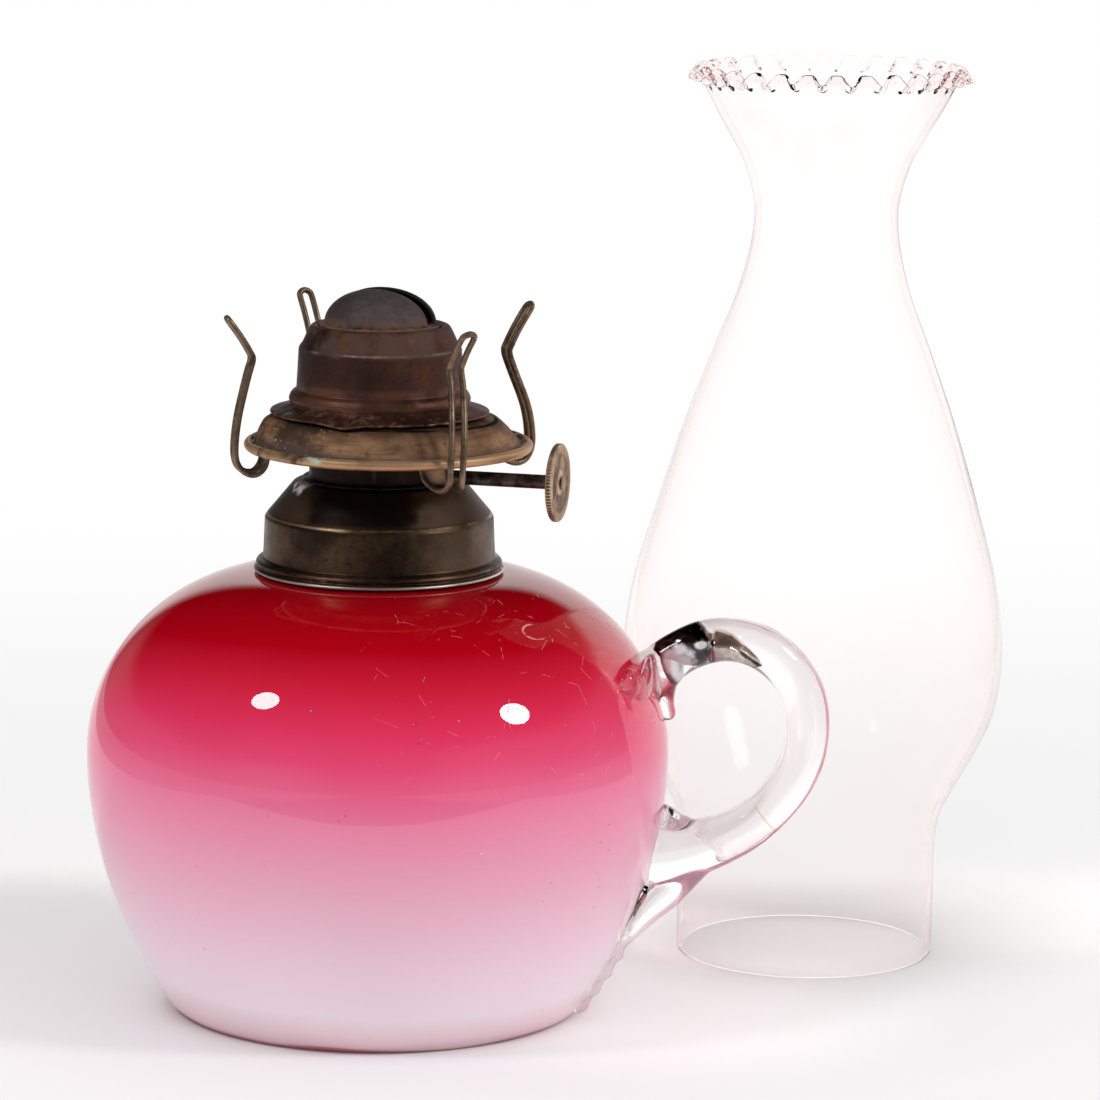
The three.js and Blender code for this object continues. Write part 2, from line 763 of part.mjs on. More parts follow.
// Places on the dish from the rim inwards: share of the way in to the crown, share of the climb
const dishShares = [
  [0, -0.02],
  [0.17, 0.04],
  [0.27, 0.16],
  [0.42, 0.5],
  [0.62, 0.8],
  [0.84, 0.95],
  [1.08, 1],
];
const crownEdge = capFlangeRadius - crownOverhang;

const dishFirst = rimRadius - rimBead;
const dishLine = dishShares.map(([inward, climb]) => [
  dishFirst - inward * (dishFirst - crownEdge),
  rimHeight + climb * (crownHeight - burnerSheet / 2 - rimHeight),
]);

function dishHeight(radius) {
  const i = Math.max(
    dishLine.findIndex(([r]) => r < radius),
    1,
  );
  const [outer, inner] = [dishLine[i - 1], dishLine[i]];
  return mapLinear(radius, outer[0], inner[0], outer[1], inner[1]);
}

// How far a point of the gallery is pushed towards +X: none at the crown and all of it at the rim.
const pushed = (radius) => galleryShift * smoothstep(radius, crownEdge, rimRadius);

function galleryPlate() {
  const neckLine = galleryNeckRadius - burnerSheet / 2;
  const line = [
    ...dishLine,
    [neckLine, crownHeight - burnerSheet / 2],
    [neckLine, crownHeight + galleryNeckRise],
  ];
  const sheet = sheetOutline(line, burnerSheet);
  const upper = sheet.slice(0, line.length);
  const lower = sheet.slice(line.length);
  const beadAngles = [160, 110, 60, 10, -40, -90, -140].map(degToRad);
  const bead = beadAngles.map((a) => [dishFirst + rimBead * Math.cos(a), rimHeight + rimBead * Math.sin(a)]);
  const outline = [...bead.reverse(), ...upper.slice(1), ...lower.slice(0, -1)];
  const geometry = revolve(outline, burnerSegments);
  const position = geometry.getAttribute("position");
  for (let i = 0; i < position.count; i++) {
    const radius = Math.hypot(position.getX(i), position.getY(i));
    position.setX(i, position.getX(i) + pushed(radius));
  }
  return geometry;
}
place("gallery_plate", galleryPlate(), burnerBrass);

// Prongs: each is one sprung brass wire bent to a hairpin. Both legs run up outside the rim, close in at the
// waist and flare out at the tip, and their feet hook in under the dish.
// For each prong: where its foot stands round the rim, how far round its top leans from there, and how much
// lower than the others its tip is bent
const prongPlaces = {
  left: [194, 2, 1.7],
  front: [297, 9, 2.3],
  right: [26, -10, 0],
  back: [122, 0, 0],
};
const hookSplay = 1.7;
const hookRadius = rimRadius - hookInset;
const prongPassRadius = rimRadius + prongStandoff;
const prongWaistRadius = chimneyFitterRadius - prongGrip;
const prongTipRadius = prongWaistRadius + prongTipFlare;
const wireSides = 5;
const tipSteps = 4;

function prong(footDegrees, leanDegrees, tipDrop) {
  const foot = degToRad(footDegrees);
  const lean = degToRad(leanDegrees);
  const half = prongSpacing / 2;
  const facetShare = Math.cos(Math.PI / burnerSegments);
  const hookReach = (Math.hypot(hookRadius, half + hookSplay) + wireRadius) / facetShare;
  const hookTop = dishHeight(hookReach) - 1.4 * burnerSheet - fit;
  const bottom = rimHeight - prongDrop;
  const waist = burnerBase + prongWaistRise;
  const tip = burnerBase + prongTipRise - tipDrop;
  const middle = (hookRadius + prongPassRadius) / 2;
  const bend = (prongPassRadius - hookRadius) / 2;
  const rise = (share) => lerp(rimHeight, waist, share);
  const close = (share) => lerp(prongPassRadius, prongWaistRadius, share);
  const climb = (share) => lerp(waist, tip, share);
  const flare = (share) => lerp(prongWaistRadius, prongTipRadius, share);
  // Radius, height and splay along one leg, from the hook under the dish to the tip
  const leg = [
    [hookRadius, hookTop, hookSplay],
    [hookRadius, rimHeight - wireRadius, hookSplay],
    [middle - bend * 0.8, rimHeight - prongDrop * 0.66, hookSplay * 0.9],
    [middle - bend * 0.2, bottom + wireRadius * 0.3, hookSplay * 0.6],
    [middle + bend * 0.4, bottom + wireRadius * 0.5, hookSplay * 0.3],
    [middle + bend * 0.86, rimHeight - prongDrop * 0.62, 0],
    [prongPassRadius, rimHeight, 0],
    [close(0.22), rise(0.35), 0],
    [close(0.78), rise(0.8), 0],
    [prongWaistRadius, waist, 0],
    [flare(0.12), climb(0.2), 0],
    [flare(0.5), climb(0.56), 0],
    [flare(0.93), climb(0.9), 0],
  ];
  const side = polar(1, foot + Math.PI / 2, 0);
  const centres = leg.map(([radius, z]) => {
    const up = smoothstep(z, rimHeight, waist);
    const centre = polar(radius, foot + lean * up, z);
    centre.x += pushed(radius) * (1 - up);
    return centre;
  });
  const legPoints = (sign) =>
    centres.map((centre, i) => centre.clone().addScaledVector(side, sign * (half + leg[i][2])));
  const outward = centres
    .at(-1)
    .clone()
    .sub(centres.at(-2))
    .normalize();
  const tipPoints = Array.from({ length: tipSteps - 1 }, (_, i) => {
    const angle = ((i + 1) / tipSteps) * Math.PI;
    return centres
      .at(-1)
      .clone()
      .addScaledVector(side, half * Math.cos(angle))
      .addScaledVector(outward, half * Math.sin(angle));
  });
  const points = [...legPoints(1), ...tipPoints, ...legPoints(-1).reverse()];
  return wire(points);
}

// A round wire through points. Each ring keeps the turn of the one before it, so the wire doesn't twist.
function wire(points) {
  let wide = new THREE.Vector3(0, 0, 1);
  const rings = points.map((p, i) => {
    const before = points[Math.max(i - 1, 0)];
    const after = points[Math.min(i + 1, points.length - 1)];
    const along = after.clone().sub(before).normalize();
    if (i === 0) wide = new THREE.Vector3(along.y, -along.x, 0);
    if (i === 0 && wide.length() < weld) wide.set(1, 0, 0);
    wide = wide.clone().addScaledVector(along, -wide.dot(along)).normalize();
    const deep = along.clone().cross(wide);
    return Array.from({ length: wireSides }, (_, j) => {
      const angle = (j / wireSides) * Math.PI * 2;
      return p
        .clone()
        .addScaledVector(wide, Math.cos(angle) * wireRadius)
        .addScaledVector(deep, Math.sin(angle) * wireRadius);
    });
  });
  return stackRings(rings, false);
}
Object.entries(prongPlaces).forEach(([name, [foot, lean, tipDrop]]) =>
  place(`prong_${name}`, prong(foot, lean, tipDrop), wireBrass),
);

// Cap: the spun thimble over the wick tube, with a flange, a bead, a wall, a shoulder and a raised ring
const capWallTaper = 0.5;
const capFlangeSlope = 2.6; // width of the flange's sloping edge
const capBeadDepth = 1.5;
const capBeadRadius = capWallRadius + capBeadDepth;
const domeFlange = 1;
const domeSeat = 0.4;
const capSeatRadius = domeRadius - domeSeat;
const capRingRadius = domeRadius + domeFlange + fit + 2.5 * burnerSheet;

function burnerCap() {
  const half = burnerSheet / 2;
  const line = [
    [capSeatRadius, capTop - 1.5 * burnerSheet],
    [capRingRadius - 2.5 * burnerSheet, capTop - 1.5 * burnerSheet],
    [capRingRadius - 1.4 * burnerSheet, capTop - half],
    [capRingRadius, capTop - half],
    [capRingRadius + burnerSheet, capTop - 2 * burnerSheet],
    [capWallRadius - capWallTaper - half - 1.4 * burnerSheet, capBase + 0.79 * capHeight],
    [capWallRadius - capWallTaper - half, capBase + 0.74 * capHeight],
    [capWallRadius - half, capBase + 0.27 * capHeight],
    [capBeadRadius - burnerSheet, capBase + 0.235 * capHeight],
    [capBeadRadius, capBase + 0.17 * capHeight],
    [capBeadRadius - burnerSheet, capBase + 0.11 * capHeight],
    [capFlangeRadius - capFlangeSlope, capBase + 0.055 * capHeight],
    [capFlangeRadius, capBase + half],
  ];
  return revolve(sheetOutline(line.reverse(), burnerSheet), burnerSegments);
}
place("burner_cap", burnerCap(), capBrass);

// Dome: the thin deflector that sits in the cap's mouth, slit along the wick
const slotWidth = 4.6;
const slotTurn = degToRad(-6);
const domeSegments = 20;

function deflectorDome() {
  const base = capTop - burnerSheet + fit;
  const angles = [0, 14, 30, 46, 62, 78].map(degToRad);
  const shell = (inset) =>
    angles.map((a) => [
      (domeRadius - inset) * Math.cos(a),
      base + burnerSheet + (domeHeight - inset) * Math.sin(a),
    ]);
  const outline = [
    [domeRadius - burnerSheet, base],
    [domeRadius + domeFlange, base],
    [domeRadius + domeFlange, base + burnerSheet * 0.8],
    ...shell(0),
    [0, base + burnerSheet + domeHeight],
    [0, base + domeHeight],
    ...shell(burnerSheet).reverse(),
  ];
  const solid = revolve(outline.slice(0, -1), domeSegments);
  const slit = new THREE.BoxGeometry(2 * domeRadius + overrun, slotWidth, 2 * domeHeight)
    .translate(0, 0, base + 1.5 * burnerSheet + domeHeight)
    .rotateZ(burnerTurn + slotTurn);
  return cut(solid, slit);
}
place("deflector_dome", deflectorDome(), domeSteel);

// Chimney: a blown tube with a straight fitter, a long bulge, a waist and a rim crimped into waves
const chimneyPlace = polar(bellyRadius + chimneyBulgeRadius + chimneyGap, chimneyAngle, 0);
const chimneySegments = crimpCount;
const rimPoints = 4 * crimpCount;
const crimpRise = 1.6;
const crimpDepth = 1.5;
// Places up the glass: share of the height, and how far the radius has gone between two of the sizes above
const chimneyShares = [
  [0.163, "fitter", "bulge", 0.07],
  [0.2, "fitter", "bulge", 0.33],
  [0.25, "fitter", "bulge", 0.71],
  [0.292, "fitter", "bulge", 0.925],
  [0.352, "fitter", "bulge", 1],
  [0.43, "neck", "bulge", 0.925],
  [0.52, "neck", "bulge", 0.74],
  [0.61, "neck", "bulge", 0.53],
  [0.69, "neck", "bulge", 0.31],
  [0.75, "neck", "bulge", 0.135],
  [0.8, "neck", "bulge", 0.035],
  [0.842, "neck", "rim", 0],
  [0.872, "neck", "rim", 0.05],
  [0.905, "neck", "rim", 0.21],
  [0.95, "neck", "rim", 0.59],
];

function chimney() {
  const sizes = {
    fitter: chimneyFitterRadius,
    bulge: chimneyBulgeRadius,
    neck: chimneyNeckRadius,
    rim: chimneyRimRadius,
  };
  const wall = [
    [0, chimneyFitterRadius],
    [chimneyFitterHeight, chimneyFitterRadius],
    ...chimneyShares.map(([up, from, to, share]) => [
      up * chimneyHeight,
      lerp(sizes[from], sizes[to], share),
    ]),
  ];
  const ring = (count, radiusAt, heightAt) =>
    Array.from({ length: count }, (_, i) => {
      const angle = (i / count) * Math.PI * 2;
      const z = heightAt(angle);
      const p = polar(radiusAt(angle), angle, z);
      return p.add(new THREE.Vector3(chimneyPlace.x + chimneyLeanShare * z, chimneyPlace.y, 0));
    });
  const plain = (radius, z) =>
    ring(
      chimneySegments,
      () => radius,
      () => z,
    );
  const crimped = (radius, z, share) =>
    ring(
      rimPoints,
      (angle) => radius + share * crimpDepth * Math.cos(crimpCount * angle),
      (angle) => z - share * crimpRise * Math.cos(crimpCount * angle),
    );
  const outside = wall.map(([z, radius]) => plain(radius, z));
  const inside = wall.map(([z, radius]) => plain(radius - chimneyWall, z));
  const neckToRim = chimneyRimRadius - crimpDepth;
  const top = chimneyHeight - crimpRise;
  const rim = [
    crimped(neckToRim - chimneyWall / 2, top - 2 * chimneyWall, 0.45),
    crimped(neckToRim, top - chimneyWall / 2, 1),
    crimped(neckToRim - chimneyWall, top, 1),
    crimped(neckToRim - 2 * chimneyWall, top - 1.5 * chimneyWall, 0.45),
  ];
  return stackRings([...outside, ...rim, ...inside.reverse()], true);
}
place("chimney", chimney(), blushGlass);

export default lamp;
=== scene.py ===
"""An antique kerosene finger lamp of shaded cranberry glass, with its crimped chimney standing beside it."""

from math import cos, hypot, pi, radians, sin, sqrt, tau

import bmesh
import bpy
import numpy as np
from mathutils import Matrix, Vector


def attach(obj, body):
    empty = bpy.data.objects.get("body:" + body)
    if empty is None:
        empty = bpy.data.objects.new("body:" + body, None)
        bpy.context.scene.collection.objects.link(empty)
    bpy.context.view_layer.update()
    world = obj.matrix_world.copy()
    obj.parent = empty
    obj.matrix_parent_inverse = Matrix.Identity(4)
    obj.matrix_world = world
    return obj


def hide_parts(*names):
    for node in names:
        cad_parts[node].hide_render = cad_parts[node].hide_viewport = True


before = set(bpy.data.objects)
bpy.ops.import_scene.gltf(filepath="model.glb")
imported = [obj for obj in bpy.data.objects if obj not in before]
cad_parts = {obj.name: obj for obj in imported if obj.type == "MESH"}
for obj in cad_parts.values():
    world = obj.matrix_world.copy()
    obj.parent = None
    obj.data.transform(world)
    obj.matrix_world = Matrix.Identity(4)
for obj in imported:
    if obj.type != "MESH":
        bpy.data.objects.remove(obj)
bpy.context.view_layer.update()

# Camera
# A long lens a little over a metre in front of the lamp, right of its middle, looking down ten degrees. It
# is turned slightly about its own axis, as the photographer's was.
camera = bpy.data.objects.new("camera", bpy.data.cameras.new("camera"))
camera.data.sensor_width = 36
camera.data.lens = 164.36
camera.data.clip_end = 20
camera_place = (0.0402, -1.1634, 0.3165)
camera_dip, camera_roll = 0.1762, 0.011
camera_turn = Matrix.Rotation(pi / 2 - camera_dip, 4, "X") @ Matrix.Rotation(camera_roll, 4, "Z")
camera.matrix_world = Matrix.Translation(camera_place) @ camera_turn
bpy.context.scene.collection.objects.link(camera)
bpy.context.scene.camera = camera
bpy.context.scene.view_settings.view_transform = "Standard"

# Font
# The oil font is one blown bubble of opaque white glass, cased in cranberry that was drawn thin towards the
# foot. Its base is ground flat, and its neck goes up inside the brass collar. The glass is glossy all over.
mm = 0.001
foot_radius = 48.9
belly_radius = 68.8
belly_height = 61
shoulder_height = 104.2
neck_radius = 24.1
flat_radius = neck_radius + 0.5
neck_top = 113.7
font_wall = 4


def font_radius(z):
    if z > belly_height:
        up = (z - belly_height) / (shoulder_height - belly_height)
        return flat_radius + (belly_radius - flat_radius) * sqrt(max(1 - up * up, 0))
    return belly_radius - (belly_radius - foot_radius) * (1 - z / belly_height) ** 2


def font_line(inset, low, high):
    """Points up the font's wall, set in square to it, between two heights."""
    turns = np.linspace(0, 1, 60)
    below = belly_height * turns
    slope = 2 * (belly_radius - foot_radius) * (1 - turns) / belly_height
    reach = np.sqrt(1 + slope**2)
    radius = np.array([font_radius(z) for z in below])
    line = list(np.stack([radius - inset / reach, below + inset * slope / reach], axis=1))
    for angle in np.linspace(0, pi / 2, 70)[1:]:
        across = (belly_radius - flat_radius - inset) * cos(angle)
        rise = (shoulder_height - belly_height - inset) * sin(angle)
        line.append((flat_radius + across, belly_height + rise))
    return [(r, z) for r, z in line if low < z <= high + 1e-6]


def eased(line, radius=0.6, closed=False):
    """The line with each corner eased into a small bend, as pressed sheet and ground glass have."""
    line = np.array(line, float)
    made = []
    for i, corner in enumerate(line):
        if not closed and i in (0, len(line) - 1):
            made.append(corner)
            continue
        arms = [line[i - 1] - corner, line[(i + 1) % len(line)] - corner]
        start, end = [corner + arm * min(radius / np.linalg.norm(arm), 0.45) for arm in arms]
        for t in np.linspace(0, 1, 5):
            made.append(start * (1 - t) ** 2 + corner * 2 * t * (1 - t) + end * t**2)
    return np.array(made)


def skin(rings, sides, closed=False):
    """The faces between rings of points. The rings close up, or else the first and last get flat ends."""
    faces = []
    for i in range(rings if closed else rings - 1):
        for j in range(sides):
            a, b = i * sides, (i + 1) % rings * sides
            k = (j + 1) % sides
            faces.append((a + j, a + k, b + k, b + j))
    if not closed:
        faces.append(tuple(range(sides))[::-1])
        faces.append(tuple((rings - 1) * sides + j for j in range(sides)))
    return faces


def spun(outline, steps=192, bend=None):
    """Points and faces of a closed outline of [radius, height] turned round Z. bend may move each point."""
    outline = np.array(outline, float)
    angle = np.arange(steps) * tau / steps
    r, angle = np.meshgrid(outline[:, 0], angle, indexing="ij")
    z = np.repeat(outline[:, 1:], steps, axis=1)
    x, y = r * np.cos(angle), r * np.sin(angle)
    if bend:
        x, y, z = bend(x, y, z, r, angle)
    points = np.stack([x, y, z], axis=2).reshape(-1, 3)
    return points, skin(len(outline), steps, closed=True)


def joined(*parts):
    """Several (points, faces) as one."""
    points, faces = [], []
    for some_points, some_faces in parts:
        start = len(points)
        points.extend(map(tuple, some_points))
        faces.extend(tuple(start + i for i in face) for face in some_faces)
    return points, faces


def to_mesh(points, faces):
    """A mesh in metres from points in millimetres, welded, with its faces turned outwards."""
    mesh = bpy.data.meshes.new("piece")
    mesh.from_pydata([tuple(float(v) * mm for v in p) for p in points], [], faces)
    shape = bmesh.new()
    shape.from_mesh(mesh)
    bmesh.ops.remove_doubles(shape, verts=shape.verts, dist=2e-6)
    bmesh.ops.recalc_face_normals(shape, faces=shape.faces)
    shape.to_mesh(mesh)
    shape.free()
    return mesh


def placed(name, data):
    """A new object in the scene."""
    made = bpy.data.objects.new(name, data)
    bpy.context.scene.collection.objects.link(made)
    return made


def piece(name, mesh, body, finish, replaced=(), sharp=40):
    """A finished piece: smooth but for its sharp edges, riding on its body in place of the plain solids."""
    mesh.shade_smooth()
    mesh.set_sharp_from_angle(angle=radians(sharp))
    mesh.materials.clear()
    mesh.materials.append(finish)
    made = placed(name, mesh)
    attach(made, body)
    if replaced:
        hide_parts(*replaced)


def add(tree, kind, plugs=(), **settings):
    """A shader node with its settings, and its inputs plugged into sockets or set to values."""
    made = tree.nodes.new("ShaderNode" + kind)
    for setting, value in settings.items():
        setattr(made, setting, value)
    for plug, value in dict(plugs).items():
        if isinstance(value, bpy.types.NodeSocket):
            tree.links.new(value, made.inputs[plug])
        elif made.inputs[plug].type == "RGBA" and len(value) == 3:
            made.inputs[plug].default_value = (*value, 1)
        else:
            made.inputs[plug].default_value = value
    return made


def feed(shader, plug, value):
    shader.id_data.links.new(value, shader.inputs[plug])


def new_finish(name, plain):
    """A material, its node tree and its main shader, with the plain values set on the shader itself."""
    finish = bpy.data.materials.new(name)
    finish.use_nodes = True
    shader = finish.node_tree.nodes["Principled BSDF"]
    for plug, value in plain.items():
        shader.inputs[plug].default_value = value
    return finish, finish.node_tree, shader


def place_in(tree):
    """Where a point lies on the lamp at rest, in metres."""
    found = tree.nodes.get("Texture Coordinate") or add(tree, "TexCoord")
    return found.outputs["Object"]


def clouds(tree, scale, detail=3, rough=0.55, squeeze=None):
    """Noise over the piece, from 0 to 1. squeeze stretches it along an axis."""
    where = place_in(tree)
    if squeeze:
        where = add(tree, "Mapping", {"Vector": where, "Scale": squeeze}).outputs[0]
    plugs = {"Vector": where, "Scale": scale, "Detail": detail, "Roughness": rough}
    return add(tree, "TexNoise", plugs).outputs[0]


def tree_of(*values):
    """The node tree that the first socket among the values is in."""
    return next(value.id_data for value in values if isinstance(value, bpy.types.NodeSocket))


def between(value, low, high, start=0.0, end=1.0):
    """start up to low, end from high on, and smooth between them."""
    plugs = {"Value": value, "From Min": low, "From Max": high, "To Min": start, "To Max": end}
    return add(value.id_data, "MapRange", plugs, interpolation_type="SMOOTHSTEP").outputs[0]


def patches(tree, low, high, *noise):
    """Noise cut to patches with soft edges: 0 below low, and 1 above high."""
    return between(clouds(tree, *noise), low, high)


def sums(kind, first, second=0.5):
    """One arithmetic step on two values."""
    return add(tree_of(first, second), "Math", {0: first, 1: second}, operation=kind).outputs[0]


def times(*factors):
    """The product of several values."""
    product = factors[0]
    for factor in factors[1:]:
        product = sums("MULTIPLY", product, factor)
    return product


def mixed(share, first, second, kind="MIX"):
    """Two colours mixed by a share."""
    plugs = {0: share, 6: first, 7: second}
    return add(share.id_data, "Mix", plugs, data_type="RGBA", blend_type=kind).outputs[2]


def raised(height, depth, strength=1.0, under=None):
    """A bump of the given depth in metres, laid over another one if there is one."""
    plugs = {"Height": height, "Distance": depth, "Strength": strength}
    if under:
        plugs["Normal"] = under
    return add(height.id_data, "Bump", plugs).outputs[0]


def away_from(tree, centre, squeeze=(1, 1, 1)):
    """How far a point is from a place on the lamp, in metres. squeeze shortens or draws out an axis."""
    offset = add(tree, "VectorMath", {0: place_in(tree), 1: [v * mm for v in centre]}, operation="SUBTRACT")
    offset = add(tree, "VectorMath", {0: offset.outputs[0], 1: squeeze}, operation="MULTIPLY")
    return add(tree, "VectorMath", {0: offset.outputs[0]}, operation="LENGTH").outputs["Value"]


def around(tree, centre, radius, edge=0.35, squeeze=(1, 1, 1)):
    """1 near a point on the lamp, in millimetres, and 0 away from it, with an uneven edge."""
    offset = away_from(tree, centre, squeeze)
    wobble = between(clouds(tree, 260, 4), 0, 1, -edge * radius * mm, edge * radius * mm)
    return between(sums("ADD", offset, wobble), radius * mm, radius * mm * 0.55)


def height_of(tree):
    return add(tree, "SeparateXYZ", {0: place_in(tree)}).outputs["Z"]


def above(tree, low, high, *ends):
    """0 up to the low height on the lamp, in millimetres, and 1 from the high one on, or the ends given."""
    return between(height_of(tree), low * mm, high * mm, *ends)


def way_along(tree, way, where=None):
    """How far a point lies along a direction."""
    plugs = {0: where or place_in(tree), 1: way}
    return add(tree, "VectorMath", plugs, operation="DOT_PRODUCT").outputs["Value"]


cased_glass, tree, shader = new_finish(
    "cased cranberry glass",
    {"Roughness": 0.6, "Coat Weight": 1, "Coat Roughness": 0.01, "Coat IOR": 1.5, "Specular IOR Level": 0},
)
font_shades = [
    (0.0, (0.36, 0.04, 0.10)),
    (0.011, (0.48, 0.15, 0.22)),
    (0.017, (0.72, 0.50, 0.54)),
    (0.05, (0.81, 0.61, 0.665)),
    (0.10, (0.84, 0.71, 0.765)),
    (0.2, (0.81, 0.605, 0.685)),
    (0.3, (0.78, 0.48, 0.58)),
    (0.4, (0.76, 0.36, 0.48)),
    (0.5, (0.755, 0.25, 0.385)),
    (0.56, (0.75, 0.19, 0.33)),
    (0.62, (0.74, 0.12, 0.24)),
    (0.68, (0.715, 0.062, 0.158)),
    (0.75, (0.66, 0.031, 0.095)),
    (0.82, (0.55, 0.014, 0.042)),
    (0.90, (0.37, 0.001, 0.007)),
    (1.0, (0.24, 0.001, 0.004)),
]
drift = times(sums("SUBTRACT", clouds(tree, 14, 2)), 0.008)
share_up = between(sums("ADD", height_of(tree), drift), 0, shoulder_height * mm)
share_up.node.interpolation_type = "LINEAR"
ramp = add(tree, "ValToRGB", {0: share_up})
while len(ramp.color_ramp.elements) < len(font_shades):
    ramp.color_ramp.elements.new(0.5)
for element, (share, colour) in zip(ramp.color_ramp.elements, font_shades):
    element.position = share
    element.color = (*colour, 1)
streaks = patches(tree, 0.35, 0.75, 26, 4, 0.6, (1, 1, 0.25))
font_colour = mixed(times(streaks, 0.12), ramp.outputs[0], (0.94, 0.90, 0.91), "MULTIPLY")
worn_side = around(tree, (36, -46, 84), 50, 0.2)
seeds = add(tree, "TexVoronoi", {"Vector": place_in(tree), "Scale": 190.0})
sparse = patches(tree, 0.53, 0.6, 60)
pit = times(between(seeds.outputs["Distance"], 0.10, 0.05), sparse)
pit = times(pit, sums("ADD", times(worn_side, 0.6), 0.4))
font_colour = mixed(times(pit, 0.6), font_colour, (0.30, 0.03, 0.06))
scratched = 0
for scale, spin in ((34.0, 0.4), (57.0, 1.3)):
    turned = add(tree, "Mapping", {"Vector": place_in(tree), "Rotation": (spin, 0.3, spin * 2)}).outputs[0]
    cells = {"Vector": turned, "Scale": scale, "Randomness": 1.0}
    lines = add(tree, "TexVoronoi", cells, feature="DISTANCE_TO_EDGE").outputs["Distance"]
    short = patches(tree, 0.565, 0.61, 230 + scale, 2)
    line = times(between(lines, 0.0022 * scale / 34, 0.0006 * scale / 34), short)
    scratched = sums("MAXIMUM", line, scratched)
scratched = times(scratched, worn_side)
font_colour = mixed(times(scratched, 0.4), font_colour, (0.93, 0.50, 0.55))
ring_radius = 0.0034
to_ring = sums("SUBTRACT", away_from(tree, (37, -33.8, 96.3), (1, 1, 2)), ring_radius)
ring = times(between(sums("ABSOLUTE", to_ring), 0.00045, 0.0001), patches(tree, 0.42, 0.5, 200))
font_colour = mixed(times(ring, 0.55), font_colour, (0.93, 0.50, 0.52))
feed(shader, "Base Color", font_colour)
waves = raised(clouds(tree, 22, 1), 0.0003, 0.4)
waves = raised(sums("ADD", pit, scratched), -0.0001, 0.7, waves)
feed(shader, "Normal", waves)
feed(shader, "Coat Normal", waves)

font_outside = [(0, 0), (foot_radius - 3, 0), (foot_radius - 1.5, 0.05), (foot_radius - 0.6, 0.25)]
font_outside += [(foot_radius - 0.1, 0.8)] + font_line(0, 1.5, shoulder_height)
font_outside += [(neck_radius, shoulder_height + 0.3), (neck_radius, neck_top)]
font_inside = [(neck_radius - font_wall, neck_top), (neck_radius - font_wall, shoulder_height - font_wall)]
font_inside += font_line(font_wall, 6, shoulder_height - font_wall)[::-1]
font_inside += [(foot_radius - font_wall - 1.5, 4.5), (0, 4.5)]
font_mesh = to_mesh(*spun(font_outside + font_inside, 256))
piece("font_glass", font_mesh, "lamp", cased_glass, ["font"], sharp=60)

# Handle
# A solid gather of clear glass was pressed on the font's side as a pad, drawn out and bent to a finger loop,
# and stuck again at the belly, where its end was pulled down the side as a thin rippled tail.
handle_radius = 5.3
handle_far = belly_radius + 32.6
handle_top = 89.2
handle_foot = 37
handle_angle = radians(-3)
pad_height = 79.5
handle_root = font_radius(pad_height)
# Each row of the loop is how far out, how high and how thick it is, as shares.
loop_rows = [
    (-0.08, 0.785, 1.2), (0.03, 0.85, 1.12), (0.16, 0.927, 1.02), (0.33, 0.985, 1), (0.51, 1, 1),
    (0.7, 0.966, 1), (0.86, 0.88, 1), (0.963, 0.766, 1), (1, 0.632, 1), (0.984, 0.489, 1),
    (0.913, 0.364, 1), (0.794, 0.245, 1), (0.648, 0.151, 1.04), (0.476, 0.082, 1.14), (0.29, 0.034, 1.32),
    (0.1, 0, 1.55), (-0.08, -0.03, 1.6),
]


def flowing(rows, steps):
    """More rows on a smooth curve through the given ones."""
    rows = np.array(rows, float)
    run = np.vstack([2 * rows[0] - rows[1], rows, 2 * rows[-1] - rows[-2]])
    curve = []
    for a, b, c, d in zip(run, run[1:], run[2:], run[3:]):
        for t in np.arange(steps) / steps:
            square = 2 * a - 5 * b + 4 * c - d
            curve.append(b + 0.5 * ((c - a) * t + square * t**2 + (3 * b - a - 3 * c + d) * t**3))
    curve.append(rows[-1])
    return np.array(curve)


def rod(points, wide, deep, sides, side=None):
    """A closed round rod through points, with its half width and half depth at each. Without a side given,
    each ring keeps the turn of the one before it, as a wire does."""
    points = np.array(points, float)
    wide, deep = np.broadcast_to(wide, len(points)), np.broadcast_to(deep, len(points))
    along = np.gradient(points, axis=0)
    along /= np.linalg.norm(along, axis=1)[:, None]
    reference = np.array(side if side is not None else np.cross(along[0], (0.31, 0.17, 0.94)), float)
    turns = np.arange(sides) * tau / sides
    rings = []
    for p, t, w, d in zip(points, along, wide, deep):
        across = reference - t * reference.dot(t)
        across /= np.linalg.norm(across)
        if side is None:
            reference = across
        up = np.cross(t, across)
        rings.append(p + np.outer(np.cos(turns) * w, across) + np.outer(np.sin(turns) * d, up))
    return np.vstack(rings), skin(len(rings), sides)


def polar(radius, angle, z):
    return np.array([radius * cos(angle), radius * sin(angle), z])


def worked(mesh, *steps):
    """The mesh after modifiers, each given as its kind and settings."""
    rough = placed("rough", mesh)
    for kind, settings in steps:
        modifier = rough.modifiers.new(kind, kind)
        for setting, value in settings.items():
            setattr(modifier, setting, value)
    ready = rough.evaluated_get(bpy.context.evaluated_depsgraph_get())
    done = bpy.data.meshes.new_from_object(ready)
    bpy.data.objects.remove(rough)
    return done


loop = flowing(loop_rows, 8)
span = handle_far - handle_root
loop_points = [
    polar(handle_root + out * span, handle_angle, handle_foot + up * (handle_top - handle_foot))
    for out, up, _ in loop
]
loop_side = polar(1, handle_angle + pi / 2, 0)
hand_made = 1 + 0.012 * np.sin(np.arange(len(loop)) * 0.33)
loop_thick = loop[:, 2] * handle_radius * hand_made
handle_loop = rod(loop_points, loop_thick, loop_thick * 0.99, 48, loop_side)


